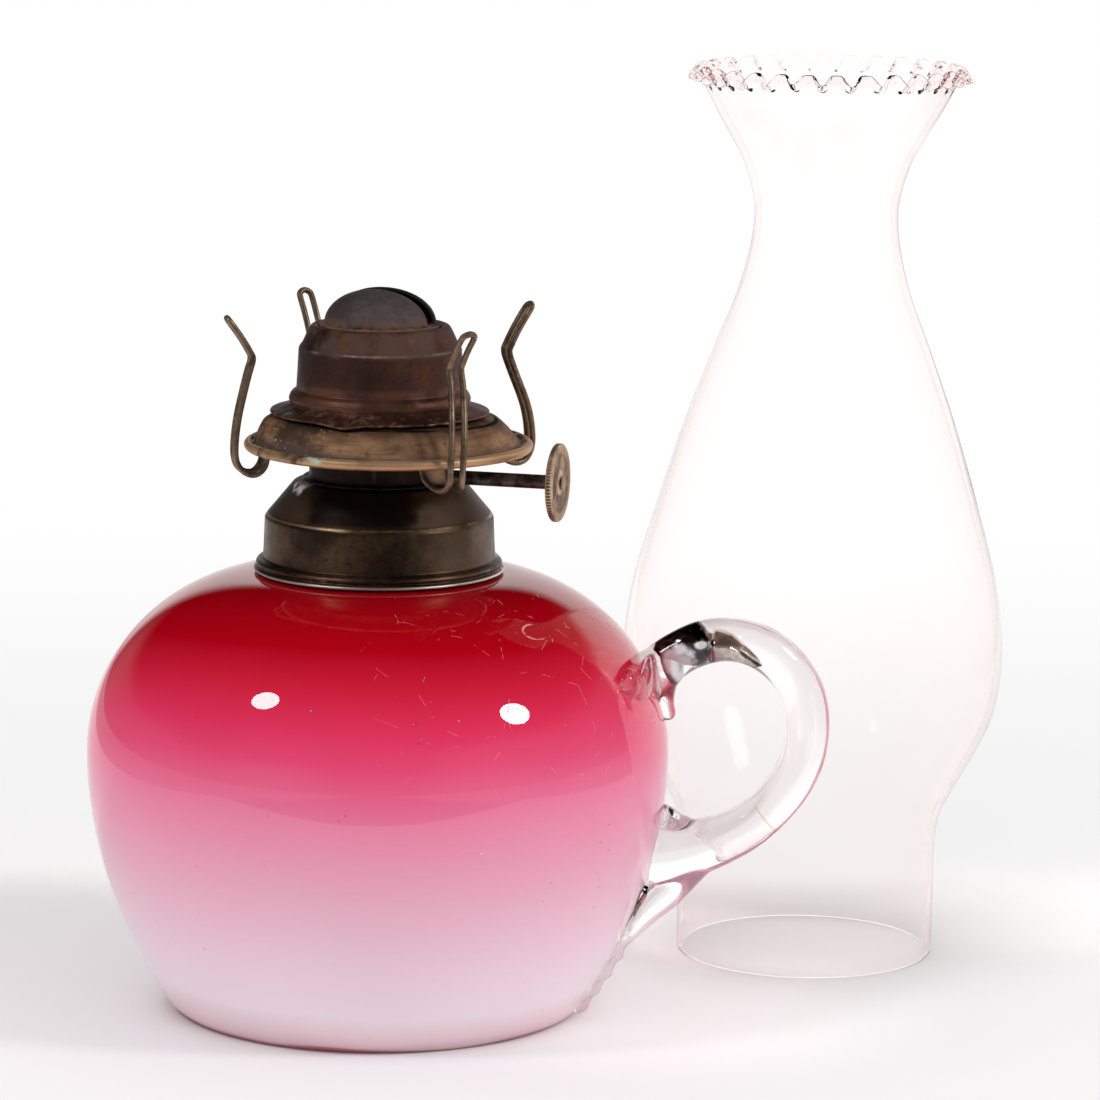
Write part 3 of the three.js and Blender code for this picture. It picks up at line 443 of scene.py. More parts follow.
def in_loop(rows, sides=28):
    """A rod in the handle's upright plane, by rows of distance, height, half width and half depth."""
    rows = flowing(rows, 6)
    points = [polar(out, handle_angle, z) for out, z, _, _ in rows]
    return rod(points, rows[:, 2], rows[:, 3], sides, loop_side)


def pressed(degrees, height, sizes):
    """A flattened gather on the font's side: half its depth, width and height."""
    points, faces = spun([(cos(a), sin(a)) for a in np.linspace(-pi / 2, pi / 2, 24)], 48)
    turn = np.array(Matrix.Rotation(radians(degrees), 3, "Z"))
    return points * sizes @ turn.T + polar(font_radius(height), radians(degrees), height), faces


handle_pad = pressed(-11, pad_height + 1, (1.6, 12, 6.2))
handle_lobe = pressed(-22, pad_height + 2.6, (2.7, 3.9, 3.9))
wedge_rows = [
    (64.6, 86.2, 4.2, 3.0), (66.0, 84.4, 5.2, 4.0), (66.8, 81, 5.4, 4.2), (67.1, 77.5, 4.6, 3.4),
    (67.7, 73.8, 3.2, 2.3), (68.6, 71.0, 2.3, 1.9), (69.0, 69.7, 1.6, 1.2),
]
fin_rows = [(66.4, 48.6, 3.4, 1.5), (68.2, 46.2, 4.4, 3.0), (70.6, 43.2, 5.2, 4.3), (74, 40.6, 5.4, 5.0)]
web_rows = [
    (77, -3, 36.8, 4.6, 4.0), (72.5, -4, 33, 5.2, 4.6), (68.6, -5.5, 29, 5.0, 4.6),
    (65.2, -7.5, 25.2, 4.4, 3.6), (62.4, -9.6, 21.4, 3.4, 2.4), (60.4, -11, 18.2, 2.4, 1.4),
]
web_line = flowing([(*polar(out, radians(a), z), wide, deep) for out, a, z, wide, deep in web_rows], 6)
handle_web = rod(web_line[:, :3], web_line[:, 3], web_line[:, 4], 28, loop_side)

tail_end = 1.6
ripple_count = 9
ripple_height = 0.85
tail_rows = []
for share in np.linspace(0, 1, 90):
    z = handle_foot + share * (tail_end - handle_foot)
    angle = radians(-4 - 15 * share)
    ripple = ripple_height * (0.5 - 0.5 * cos(share * tau * ripple_count)) * min(1, 4 * share)
    spread = 3.4 * max(1 - share / 0.3, 0) ** 2
    at = polar(font_radius(z), angle, z)
    half_wide = 3.6 * (1 - 0.6 * share) + spread / 2 + 0.3 * ripple
    tail_rows.append((*at, half_wide, 2.6 * (1.15 - 0.7 * share) + ripple + spread))
tail_rows = np.array(tail_rows)
handle_tail = rod(tail_rows[:, :3], tail_rows[:, 3], tail_rows[:, 4], 28, loop_side)

gathers = [handle_pad, handle_lobe, in_loop(wedge_rows), in_loop(fin_rows)]
handle_mesh = worked(
    to_mesh(*joined(handle_loop, *gathers, handle_web, handle_tail)),
    ("REMESH", {"mode": "VOXEL", "voxel_size": 0.00045}),
    ("SMOOTH", {"factor": 0.5, "iterations": 14}),
)
# The glass stays outside the font's own wall and just above the table.
for vertex in handle_mesh.vertices:
    x, y, z = (v / mm for v in vertex.co)
    z = max(z, 0.8)
    surface = font_radius(min(max(z, 1), shoulder_height)) - 0.6
    near = hypot(x, y)
    if near < surface:
        x, y = x * surface / near, y * surface / near
    vertex.co = (x * mm, y * mm, z * mm)


def let_lamps_through(tree, shader, tint, depth_colour, density):
    """Lets the lamps' light through the glass, so that its shadow is as light as a real one. Thick glass
    takes on the depth colour."""
    clear = add(tree, "BsdfTransparent", {"Color": tint})
    in_shadow = add(tree, "LightPath").outputs["Is Shadow Ray"]
    both = add(tree, "MixShader", {0: in_shadow, 1: shader.outputs[0], 2: clear.outputs[0]})
    tree.links.new(both.outputs[0], tree.nodes["Material Output"].inputs["Surface"])
    body = add(tree, "VolumeAbsorption", {"Color": depth_colour, "Density": density})
    tree.links.new(body.outputs[0], tree.nodes["Material Output"].inputs["Volume"])


def rim_tint(tree, share):
    """More of a tint where the glass is seen along its surface, and so through more of it."""
    facing = add(tree, "LayerWeight", {"Blend": 0.5}).outputs["Facing"]
    return between(facing, 0.80, 0.98, 0, share)


trapped_rows = [
    (65.7, 85.4, 0.3, 0.3), (67, 85.7, 2.6, 1.7), (69.4, 86.5, 4.2, 3.1), (72.2, 87.7, 4.7, 3.9),
    (75, 88.0, 4.4, 3.8), (77.3, 88.1, 3.4, 2.8), (77.9, 88.1, 2.6, 2.3), (79.2, 87.8, 3.4, 3.1),
    (82.6, 87.5, 3.2, 2.7), (86.2, 86.2, 2.4, 2.0), (89, 85.1, 1.5, 1.2), (91, 84.3, 0.2, 0.2),
]
drop_rows = [
    (70, 86.6, 2.6, 2.4), (69.3, 84.2, 3.2, 2.5), (69, 81.8, 2.9, 1.9), (68.9, 79.9, 1.8, 1.1),
    (68.9, 78.9, 0.2, 0.2),
]
trapped_mesh = to_mesh(*joined(in_loop(trapped_rows, 40), in_loop(drop_rows, 40)))

plain = {"Transmission Weight": 1, "IOR": 1.5, "Roughness": 0}
clear_glass, tree, shader = new_finish("clear pulled glass", plain)
seam_way = Vector((0.78, -0.04, 0.62))
seam_place = Vector((0.093, 0, 0.0459))
seam = sums("ABSOLUTE", sums("SUBTRACT", way_along(tree, seam_way), seam_way.dot(seam_place)))
seam = times(between(seam, 0.0003, 0.0001), around(tree, (92.5, -9, 46), 7, 0.2))
glass_colour = mixed(rim_tint(tree, 0.45), (1, 1, 1), (0.62, 0.54, 0.50))
glass_colour = mixed(seam, glass_colour, (0.80, 0.55, 0.25))
feed(shader, "Base Color", glass_colour)
feed(shader, "Normal", raised(clouds(tree, 90, 2), 0.0003, 0.3))
let_lamps_through(tree, shader, (0.86, 0.84, 0.84), (0.90, 0.84, 0.80), 9.0)
piece("handle_glass", handle_mesh, "lamp", clear_glass, ["handle"], sharp=180)

bubble_skin, tree, shader = new_finish("mirror skin of a bubble", {"Metallic": 1, "Roughness": 0.08})
outward = add(tree, "SeparateXYZ", {0: place_in(tree)}).outputs["X"]
in_lens = between(outward, 0.0768, 0.0785)
swirl = patches(tree, 0.35, 0.65, 210, 3)
lens_colour = mixed(swirl, (0.36, 0.30, 0.27), (0.80, 0.73, 0.65))
# The skin is painted nearly black, a painted shade for the dark room that the bubble mirrors, with a painted
# white reflection of the table at its core, where it is not metallic.
bubble_painted_reflection = around(tree, (70.4, 0, 84.0), 4.8, 0.3, (1, 0, 0.85))
bubble_painted_reflection = sums("MAXIMUM", bubble_painted_reflection, around(tree, (75.9, 0, 88.6), 1.4, 0.3, (0.7, 0, 1.2)))
bubble_painted_shade_and_reflection = mixed(bubble_painted_reflection, (0.035, 0.026, 0.030), (0.95, 0.96, 0.98))
feed(shader, "Base Color", mixed(in_lens, bubble_painted_shade_and_reflection, lens_colour))
feed(shader, "Metallic", sums("SUBTRACT", 1.0, times(bubble_painted_reflection, 0.8)))
feed(shader, "Normal", raised(clouds(tree, 260, 3), 0.0006, 0.5))
piece("handle_bubble", trapped_mesh, "lamp", bubble_skin, sharp=180)

# Neck plaster
# Plaster of Paris was poured between the glass neck and the collar, and it holds the collar for good. It
# only shows from inside, as a chalky ring with small pores.
plaster, tree, shader = new_finish("old plaster", {"Roughness": 0.95, "Specular IOR Level": 0.2})
stain = patches(tree, 0.4, 0.7, 120, 4)
feed(shader, "Base Color", mixed(stain, (0.62, 0.56, 0.46), (0.42, 0.33, 0.22)))
feed(shader, "Normal", raised(clouds(tree, 900, 4), 0.0002, 0.6))


def refinish(finish, *nodes):
    """Gives the CAD's own solids a finish."""
    for node in nodes:
        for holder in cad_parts[node].material_slots:
            holder.material = finish


refinish(plaster, "neck_plaster")

# Collar
# A spun brass shell with a flange, a bead and a sloping top. A century of handling has left it dark olive,
# with bright metal along its lower edge and on one bare patch. Under its top sits the ring that the burner
# screws into.
collar_base = 104.5
collar_top = 125.7


def aged_metal(name, metal, tarnish, polish, roughness, size=45, wear=0.52, metallic=0.85):
    """Old sheet metal: bare under clouds of tarnish, rubbed bright on its edges, with dirt in its hollows."""
    finish, tree, shader = new_finish(name, {"Metallic": metallic})
    cloud = patches(tree, 0.36, 0.64, size, 5, 0.62)
    colour = mixed(cloud, metal, tarnish)
    mottle = patches(tree, 0.35, 0.7, size * 5, 5, 0.7)
    colour = mixed(times(mottle, 0.5), colour, tarnish)
    flecks = patches(tree, 0.52, 0.72, 620, 4, 0.7)
    darker = [v * 0.3 for v in tarnish]
    colour = mixed(times(flecks, 0.6), colour, darker)
    point = add(tree, "NewGeometry").outputs["Pointiness"]
    dirt = times(between(point, 0.495, 0.46), patches(tree, 0.3, 0.6, 260, 3))
    colour = mixed(dirt, colour, darker)
    edges = between(point, wear, wear + 0.04)
    rubbed = times(edges, patches(tree, 0.36, 0.6, 300, 3))
    colour = mixed(rubbed, colour, polish)
    feed(shader, "Base Color", colour)
    feed(shader, "Roughness", between(clouds(tree, size * 3, 4, 0.6), 0.3, 0.7, *roughness))
    grain = raised(clouds(tree, 1500, 4, 0.6), 0.00006, 0.4)
    feed(shader, "Normal", raised(clouds(tree, 150, 2), 0.00025, 0.35, grain))
    return finish, tree, shader


def mark(shader, share, colour, roughness=None, metallic=None):
    """Lays a mark of another colour over a finish, as rough and as metallic as told. The share may be several
    factors."""
    tree = shader.id_data
    if isinstance(share, tuple):
        share = times(*share)
    for plug, value in (("Base Color", colour), ("Roughness", roughness), ("Metallic", metallic)):
        if value is None:
            continue
        socket = shader.inputs[plug]
        under = socket.links[0].from_socket if socket.links else socket.default_value
        if plug == "Base Color":
            over = mixed(share, under, value)
        else:
            over = add(tree, "Mix", {0: share, 2: under, 3: value}).outputs[0]
        feed(shader, plug, over)


def band(tree, low, high, soft=0.25):
    """1 between two heights on the lamp, in millimetres, and 0 above and below them."""
    return times(above(tree, low - soft, low), above(tree, high + soft, high))


def uneven(angle, z, size, seed):
    """The slow unevenness of thin sheet that has been dropped and straightened."""
    draw = np.random.default_rng(seed)
    total = 0
    for count in range(2, 8):
        start, climb = draw.uniform(0, tau), draw.uniform(-0.12, 0.12)
        total = total + np.sin(count * angle + start + z * climb) / count
    return size * total


collar_brass, tree, shader = aged_metal(
    "dark collar brass",
    (0.175, 0.105, 0.060),
    (0.042, 0.025, 0.017),
    (0.66, 0.46, 0.28),
    (0.33, 0.47),
    metallic=0.95,
)
# A painted highlight: a thin golden line round the collar's shoulder, where the lamps shine on its bend.
collar_shoulder_painted_highlight = (band(tree, 117.75, 118.05, 0.2), patches(tree, 0.36, 0.6, 75, 3), 0.8)
mark(shader, collar_shoulder_painted_highlight, (0.72, 0.50, 0.29), 0.36)
# A painted highlight: a lighter patch on the right front of the collar's wall.
wall_painted_highlight = (between(away_from(tree, (19, -19, 112)), 0.014, 0.003), band(tree, 108, 117.4, 1), 0.4)
mark(shader, wall_painted_highlight, (0.20, 0.130, 0.088))
foot_line = (band(tree, 104.3, 105.1), patches(tree, 0.3, 0.5, 60, 3))
mark(shader, foot_line, (0.78, 0.72, 0.66), 0.42)
mark(shader, band(tree, 118.6, 127, 0.5), (0.110, 0.068, 0.043), 0.5, 0.8)
# Painted shade: the middle front of the collar's top cone is nearly black, under the dish.
cone_painted_shade = around(tree, (-3.5, -21.5, 122.5), 17, 0.2)
mark(shader, (cone_painted_shade, band(tree, 119.2, 127, 2)), (0.020, 0.012, 0.009), 0.3)
bare = (around(tree, (-17.7, -7.6, 126.2), 4.4, 0.6), patches(tree, 0.3, 0.5, 420, 3))
mark(shader, bare, (0.74, 0.69, 0.69), 0.6, 0.1)
collar_flange = [(29, 0), (29.5, 0.15), (29.5, 0.6), (28.6, 1.3), (29.05, 1.9), (28.6, 2.6)]
collar_wall = [(27.35, 3.2), (27.2, 5), (26.9, 12.6), (26.55, 13.2)]
collar_roof = [(20.2, -0.4), (19.5, 0), (11.7, 0), (11.7, -0.7), (18.8, -0.7)]
collar_lining = [(25.5, 12.7), (26.2, 11.6), (26.6, 2.6), (26.6, 0)]
collar_outline = [(r, collar_base + up) for r, up in collar_flange + collar_wall]
collar_outline += [(r, collar_top + up) for r, up in collar_roof]
collar_outline += [(r, collar_base + up) for r, up in collar_lining]


def collar_bend(x, y, z, r, angle):
    share = np.clip((r - 20) / 9, 0, 1)
    out = 1 + share * uneven(angle, z, 0.0018, 3)
    return x * out, y * out, z + np.where(z > collar_base + 4, uneven(angle, z, 0.12, 4), 0)


collar_mesh = to_mesh(*spun(eased(collar_outline, 0.35, closed=True), 224, collar_bend))
piece("collar_spun_shell", collar_mesh, "lamp", collar_brass, ["collar_shell"])

screw_radius = 11.1
thread_pitch = 2.6


def threaded(line, crest, low, high):
    """A bend that rolls a screw thread into a round wall between two heights."""

    def bend(x, y, z, r, angle):
        wave = 0.5 + 0.5 * np.cos((z / thread_pitch - angle / tau) * tau)
        ends = np.clip((z - low) / 1.2, 0, 1) * np.clip((high - z) / 1.2, 0, 1)
        share = np.where(abs(r - line) < 1.4, ends * crest * wave, 0)
        out = (r + share) / np.maximum(r, 1e-6)
        return x * out, y * out, z

    return bend


ring_top = collar_top - 1
ring_foot = ring_top - 9.8
bore_line = [(screw_radius + 0.3, z) for z in np.linspace(ring_foot, ring_top, 60)]
ring_line = [(screw_radius + 0.9, z) for z in np.linspace(ring_foot, ring_top - 0.8, 60)]
ring_outline = bore_line + [(14.5, ring_top), (14.5, ring_top - 0.8)] + ring_line[::-1]
ring_mesh = to_mesh(*spun(ring_outline, 128, threaded(screw_radius + 0.6, 0.2, ring_foot, ring_top - 1)))
piece("collar_thread_ring", ring_mesh, "lamp", collar_brass, ["collar_screw_ring"])

# Burner foot
# The burner's thin screw shell has its thread rolled into the sheet. It screws into the collar's ring, and
# a plate pressed into it carries the wick tube and the vent tube.
burner_base = 126.0
burner_brass, tree, shader = aged_metal(
    "brown burner brass",
    (0.34, 0.20, 0.115),
    (0.11, 0.06, 0.04),
    (0.85, 0.62, 0.42),
    (0.42, 0.62),
    size=60,
)
# Nearly black towards the bottom, below the dish: painted shade under the dish, with some soot.
mark(shader, (above(tree, 138.5, 131), 0.93), (0.016, 0.010, 0.008))
shell_foot = burner_base - 10.8
shell_wall = [(screw_radius - 0.3, z) for z in np.linspace(shell_foot, burner_base, 70)]
shell_bore = [(screw_radius - 0.85, z) for z in np.linspace(shell_foot, burner_base + 0.6, 70)]
shell_outline = shell_wall + [(15.6, burner_base), (15.6, burner_base + 0.6)] + shell_bore[::-1]
shell_mesh = to_mesh(
    *spun(shell_outline, 128, threaded(screw_radius - 0.6, 0.28, shell_foot, burner_base - 0.8))
)
piece("screw_shell_thread", shell_mesh, "screw_shell", burner_brass, ["burner_screw_shell"])
refinish(burner_brass, "burner_base_plate", "wick_tube", "vent_tube", "air_screen", "wheel_housing")

# Drum
# The burner's draught casing is a short pierced cylinder between the collar and the dish. It flares out
# under the dish, its ring of holes lets the air in, and the spindle's bush is soldered in its side.
burner_turn = radians(-15)
turn = np.array(Matrix.Rotation(burner_turn, 3, "Z"))
crown_height = 141.3
spindle_height = 128.1
spindle_offset = -4.9
bush_radius = 2.3
drum_radius = 16.2
hole_count = 12
hole_radius = 1.2


def sheet(line, thickness=0.6, ends=5):
    """The closed outline of a bent sheet from the line along its middle, with round edges."""
    line = np.array(line, float)
    half = np.broadcast_to(thickness, len(line))[:, None] / 2
    along = np.gradient(line, axis=0)
    along /= np.linalg.norm(along, axis=1)[:, None]
    out = np.stack([along[:, 1], -along[:, 0]], axis=1) * half
    caps = []
    for end, sign in ((-1, 1), (0, -1)):
        for angle in np.linspace(0, pi, ends + 2)[1:-1]:
            ahead = along[end] * half[end]
            caps.append(line[end] + sign * (out[end] * cos(angle) + ahead * sin(angle)))
    return [*(line + out), *caps[:ends], *(line - out)[::-1], *caps[ends:]]


def carved(mesh, *tools):
    """The mesh with the tools' solids cut out of it."""
    cutters = [placed("cutter", to_mesh(*tool)) for tool in tools]
    steps = [("BOOLEAN", {"operation": "DIFFERENCE", "object": cutter}) for cutter in cutters]
    done = worked(mesh, *steps)
    for cutter in cutters:
        bpy.data.objects.remove(cutter)
    return done


drum_line = [(17.8, burner_base + 0.3), (drum_radius, burner_base + 0.3), (drum_radius, crown_height - 4.4)]
drum_line += [(21.4, crown_height - 1.2), (22, crown_height - 1.2)]
drum_holes = []
for i in range(hole_count):
    angle = (i + 0.5) / hole_count * tau + burner_turn
    ends = [polar(reach, angle, burner_base + 8.6) for reach in (14.5, 18)]
    drum_holes.append(rod(ends, hole_radius, hole_radius, 20))
bush_ends = [turn @ (reach, spindle_offset, spindle_height) for reach in (12, 22)]
drum_holes.append(rod(bush_ends, bush_radius + 0.3, bush_radius + 0.3, 32))
drum_mesh = carved(to_mesh(*spun(sheet(eased(drum_line, 1.2)), 144)), *drum_holes)
piece("drum_pierced_casing", drum_mesh, "burner", burner_brass, ["burner_drum"])

journal_end = sqrt((drum_radius - 0.3) ** 2 - spindle_offset**2)


def along_spindle(outline, steps=64, bend=None):
    """An outline of [radius, place along the spindle] turned round the spindle."""
    points, faces = spun(outline, steps, bend)
    laid = np.stack([points[:, 2], points[:, 0] + spindle_offset, points[:, 1] + spindle_height], axis=1)
    return laid @ turn.T, faces


bush_bore = 1.85
bush_rows = [(bush_bore, 0.3), (bush_radius, 0.3), (bush_radius, 2.9), (bush_radius - 0.15, 3.3)]
bush_rows.append((bush_bore, 3.3))
bush_outline = [(r, journal_end + past) for r, past in bush_rows]
boss_rows = [(cos(a), sin(a)) for a in np.linspace(-pi / 2, pi / 2, 20)]
boss_points, boss_faces = spun(boss_rows, 40)
boss_points = boss_points * (3.4, 4.3, 3.9) + (journal_end + 0.8, spindle_offset - 1.4, spindle_height + 2.0)
boss_bore = [turn @ (reach, spindle_offset, spindle_height) for reach in (8, 24)]
boss_mesh = carved(to_mesh(boss_points @ turn.T, boss_faces), rod(boss_bore, bush_bore, bush_bore, 32))
bush_mesh = to_mesh(*along_spindle(bush_outline))
with_boss = bmesh.new()
with_boss.from_mesh(boss_mesh)
with_boss.from_mesh(bush_mesh)
with_boss.to_mesh(bush_mesh)
with_boss.free()
boss_brass = aged_metal(
    "brown boss brass",
    (0.46, 0.27, 0.16),
    (0.20, 0.11, 0.066),
    (0.70, 0.50, 0.34),
    (0.48, 0.66),
    size=110,
    metallic=0.6,
)[0]
piece("spindle_bush_ring", bush_mesh, "burner", boss_brass, ["spindle_bush"])

# Wick
# A flat strip of woven cotton hangs from the tube into the oil. It is soaked and yellowed below, and its
# top edge is charred. The two toothed wheels bite its front.
wick_width, wick_thickness = 15.9, 2.4
wick_top, wick_foot = 160.8, 18.3
cotton, tree, shader = new_finish("woven wick cotton", {"Roughness": 0.95, "Sheen Weight": 0.3})
weft = add(tree, "TexWave", {"Vector": place_in(tree), "Scale": 420.0}, bands_direction="Z").outputs[1]
warp_at = add(tree, "Mapping", {"Vector": place_in(tree), "Rotation": (0, 0, -burner_turn)}).outputs[0]
warp = add(tree, "TexWave", {"Vector": warp_at, "Scale": 420.0}, bands_direction="X").outputs[1]
woven = times(weft, warp)
wick_colour = mixed(woven, (0.42, 0.36, 0.26), (0.74, 0.68, 0.54))
oiled_colour = mixed(above(tree, 70, 30), wick_colour, (0.5, 0.4, 0.22))
wick_colour = mixed(above(tree, 157.5, 160.2), oiled_colour, (0.012, 0.011, 0.01))
feed(shader, "Base Color", wick_colour)
feed(shader, "Normal", raised(woven, 0.0004, 0.8))
wick_points = []
wick_steps, corner_count = 160, 64
for z in np.linspace(wick_foot, wick_top, wick_steps):
    ragged = 0.12 * sin(z * 5.1) + 0.08 * sin(z * 11.3)
    half_wide = wick_width / 2 - 0.15 + 0.1 * ragged
    half_deep = wick_thickness / 2 - 0.06 + 0.05 * ragged
    for a in np.arange(corner_count) * tau / corner_count:
        x = half_wide * np.sign(cos(a)) * abs(cos(a)) ** 0.35
        y = half_deep * np.sign(sin(a)) * abs(sin(a)) ** 0.35
        frayed = 0.25 * sin(9 * x) - 0.3 if z == wick_top else 0
        wick_points.append(turn @ (x, y, z + frayed))
wick_mesh = to_mesh(wick_points, skin(wick_steps, corner_count))
piece("wick_strip", wick_mesh, "wick", cotton, ["wick"])

# Spindle
# A steel wire turned down for its journals, running through the bush and the little housing on the wick
# tube. Its two toothed wheels are pressed on it, and outside it is almost black with old oil.
dark_steel, tree, shader = aged_metal(
    "dark spindle steel",
    (0.075, 0.050, 0.042),
    (0.035, 0.024, 0.020),
    (0.20, 0.15, 0.12),
    (0.42, 0.6),
    size=90,
)
spindle_reach = 44.6
spindle_outline = [(0, -4.7), (1.1, -4.7), (1.2, -4.5), (1.2, journal_end), (1.65, journal_end + 0.05)]
rivet_rows = [(1.65, -1.2), (1.5, -1.1), (0.9, -1.1), (0.9, 1.1), (1.45, 1.1)]
rivet_rows += [(1.7, 1.2), (1.7, 1.4), (1.4, 1.6), (0.8, 1.7), (0, 1.7)]
spindle_outline += [(r, spindle_reach + past) for r, past in rivet_rows]
spindle_way = (cos(burner_turn), sin(burner_turn), 0)
rivet_end = between(way_along(tree, spindle_way), (spindle_reach + 0.95) * mm, (spindle_reach + 1.15) * mm)
mark(shader, (rivet_end, 0.85), (0.50, 0.37, 0.27))
spindle_mesh = to_mesh(*along_spindle(spindle_outline))
piece("spindle_wire", spindle_mesh, "wick_raiser", dark_steel, ["spindle"])
refinish(dark_steel, "wick_wheel_1", "wick_wheel_2")

# Thumbwheel
# A stamped brass disc with a milled edge and a shallow sunk face, riveted on the spindle's end. The milling
# is worn smooth on one side.
wheel_radius = 9.1
wheel_half = 0.8
wheel_teeth = 72
wheel_brass, tree, shader = aged_metal(
    "thumbwheel brass",
    (0.74, 0.51, 0.33),
    (0.40, 0.25, 0.16),
    (0.90, 0.70, 0.48),
    (0.42, 0.6),
    size=110,
)
grained = patches(tree, 0.42, 0.62, 420, 4, 0.6, (1, 1, 0.16))
mark(shader, (grained, 0.45), (0.20, 0.115, 0.07))
face_rows = [(0.95, 0), (2.9, 0), (3.2, 0.32), (6.8, 0.35), (7.2, 0.05), (7.5, 0), (8.4, 0), (8.85, 0.1)]
face_line = [(r, wheel_half - sunk) for r, sunk in [*face_rows, (wheel_radius, 0.3)]]
wheel_outline = [(r, spindle_reach + d) for r, d in face_line]
wheel_outline += [(wheel_radius, spindle_reach + d) for d in (0.3, 0.1, -0.1, -0.3)]
wheel_outline += [(r, spindle_reach - d) for r, d in face_line[::-1]]


def milling(x, y, z, r, angle):
    tooth = np.clip(1.4 * np.cos(wheel_teeth * angle), -0.8, 1)
    worn = np.clip(0.75 + 0.6 * np.sin(angle * 2 + 0.6), 0.15, 1)
    depth = 0.16 * (1 - tooth) * worn * (r > wheel_radius - 0.2)
    out = (r - depth) / r
    return x * out, y * out, z


wheel_mesh = to_mesh(*along_spindle(wheel_outline, wheel_teeth * 8, milling))
piece("thumbwheel_milled", wheel_mesh, "wick_raiser", wheel_brass, ["thumbwheel"], sharp=50)

# Gallery
# The dish that carried the chimney is pressed from thin brass with a rolled rim. It has been knocked: the
# rim is pushed over to the handle's side, one fold runs down its left, and there is a dent under the cap.
rim_height = 134.2
rim_bead = 1.15
rim_radius = 33.9
rim_push = 2.1
dish_first = rim_radius - rim_bead
crown_edge = 24.4
dish_shares = [(0, -0.02), (0.17, 0.04), (0.27, 0.16), (0.42, 0.5), (0.62, 0.8), (0.84, 0.95), (1.08, 1)]
dish_run, dish_rise = dish_first - crown_edge, crown_height - 0.3 - rim_height
dish_line = [(dish_first - run * dish_run, rim_height + rise * dish_rise) for run, rise in dish_shares]


def smooth_share(value, low, high):
    share = np.clip((value - low) / (high - low), 0, 1)
    return share * share * (3 - 2 * share)


def pushed(radius):
    return rim_push * smooth_share(radius, crown_edge, rim_radius)


def apart(angle, degrees):
    """How far round an angle is from a place, in degrees."""
    return (np.degrees(angle) - degrees + 180) % 360 - 180


def hill(distance, width):
    """1 at no distance, falling smoothly to 0 over about twice the width."""
    return np.exp(-((distance / width) ** 2))


def knocked(x, y, z, r, angle):
    """The dish as it has been bent: pushed over, folded on the left and dented in front."""
    outer = smooth_share(r, 22.5, 27)
    inner = 1 - smooth_share(r, 29.5, 33)
    fold = -1.3 * hill(apart(angle, -165), 3.2) + 0.7 * hill(apart(angle, -173), 3.6)
    fold += 0.6 * hill(apart(angle, -158), 3)
    dent = -0.9 * hill(apart(angle, -107), 8) * hill(r - 26.5, 2.6)
    bump = 0.5 * hill(apart(angle, 22), 6) * hill(r - 29, 2)
    lift = outer * inner * fold + dent + bump + outer * uneven(angle, r, 0.14, 8)
    return x + pushed(r), y, z + lift


dish_brass, tree, shader = aged_metal(
    "brown gallery brass",
    (0.56, 0.325, 0.180),
    (0.33, 0.185, 0.105),
    (0.92, 0.62, 0.36),
    (0.54, 0.72),
    size=60,
)
streaks = patches(tree, 0.45, 0.68, 1300, 3, 0.6, (0.1, 0.1, 1))
mark(shader, (streaks, 0.5), (0.17, 0.088, 0.048))
across = add(tree, "VectorMath", {0: place_in(tree), 1: (1, 1, 0)}, operation="MULTIPLY").outputs[0]
plugs = {0: across, 1: (rim_push * mm, 0, 0)}
from_axis = add(tree, "VectorMath", plugs, operation="DISTANCE").outputs["Value"]
groove = (between(from_axis, 0.0298, 0.0312), between(from_axis, 0.0332, 0.0326))
mark(shader, (*groove, patches(tree, 0.3, 0.52, 160, 4), 0.92), (0.045, 0.033, 0.023), 0.8, 0.2)
chalky = (between(from_axis, 0.0312, 0.0318), between(from_axis, 0.0327, 0.0323))
mark(shader, (*chalky, patches(tree, 0.5, 0.62, 230, 4), 0.6), (0.50, 0.43, 0.33), 0.85, 0.1)
# Darker on the dish near the cap: grime, and painted shade under the cap's flange.
near_cap_grime_and_shade = (between(from_axis, 0.0290, 0.0252), patches(tree, 0.32, 0.6, 130, 4), 0.8)
mark(shader, near_cap_grime_and_shade, (0.090, 0.052, 0.034), 0.7)
# A painted highlight: a lighter orange band on the dish's rolled rim.
rim_painted_highlight = (between(from_axis, 0.0322, 0.0329), patches(tree, 0.28, 0.5, 90, 4), 0.7)
mark(shader, rim_painted_highlight, (0.80, 0.50, 0.28), 0.5)
burnt = times(around(tree, (-19.5, -22.5, 137.2), 12, 0.8), patches(tree, 0.3, 0.58, 150, 4))
mark(shader, (burnt, 0.85), (0.085, 0.048, 0.036), 0.7)
# A painted shadow: a black line on the dish just under the edge of the cap's flange.
flange_painted_shadow = (between(from_axis, 0.0258, 0.0255), between(from_axis, 0.0245, 0.025))
mark(shader, (*flange_painted_shadow, patches(tree, 0.36, 0.6, 110, 3)), (0.016, 0.010, 0.008), 0.9)
grit = add(tree, "TexVoronoi", {"Vector": place_in(tree), "Scale": 620.0}).outputs["Distance"]
dust = (between(grit, 0.24, 0.1), patches(tree, 0.46, 0.56, 300), burnt, 0.7)
mark(shader, dust, (0.62, 0.55, 0.52), 0.8, 0.1)
green = around(tree, (-14.8, -29.6, 134.6), 3.1, 0.7, (0.8, 1, 1.9))
mark(shader, (green, patches(tree, 0.3, 0.6, 500, 4), 0.75), (0.28, 0.55, 0.42), 0.85, 0.0)
gallery_line = [(18.1, 146.2), (18.1, 141.6), (18.6, 141.0), (20.5, 141.0), *dish_line[::-1]]
gallery_sheet = spun(sheet(eased(gallery_line, 0.9)), 280, knocked)
bead_line = [
    (dish_first + rim_bead * cos(a), rim_height + rim_bead * sin(a))
    for a in np.linspace(0, tau, 20, endpoint=False)
]
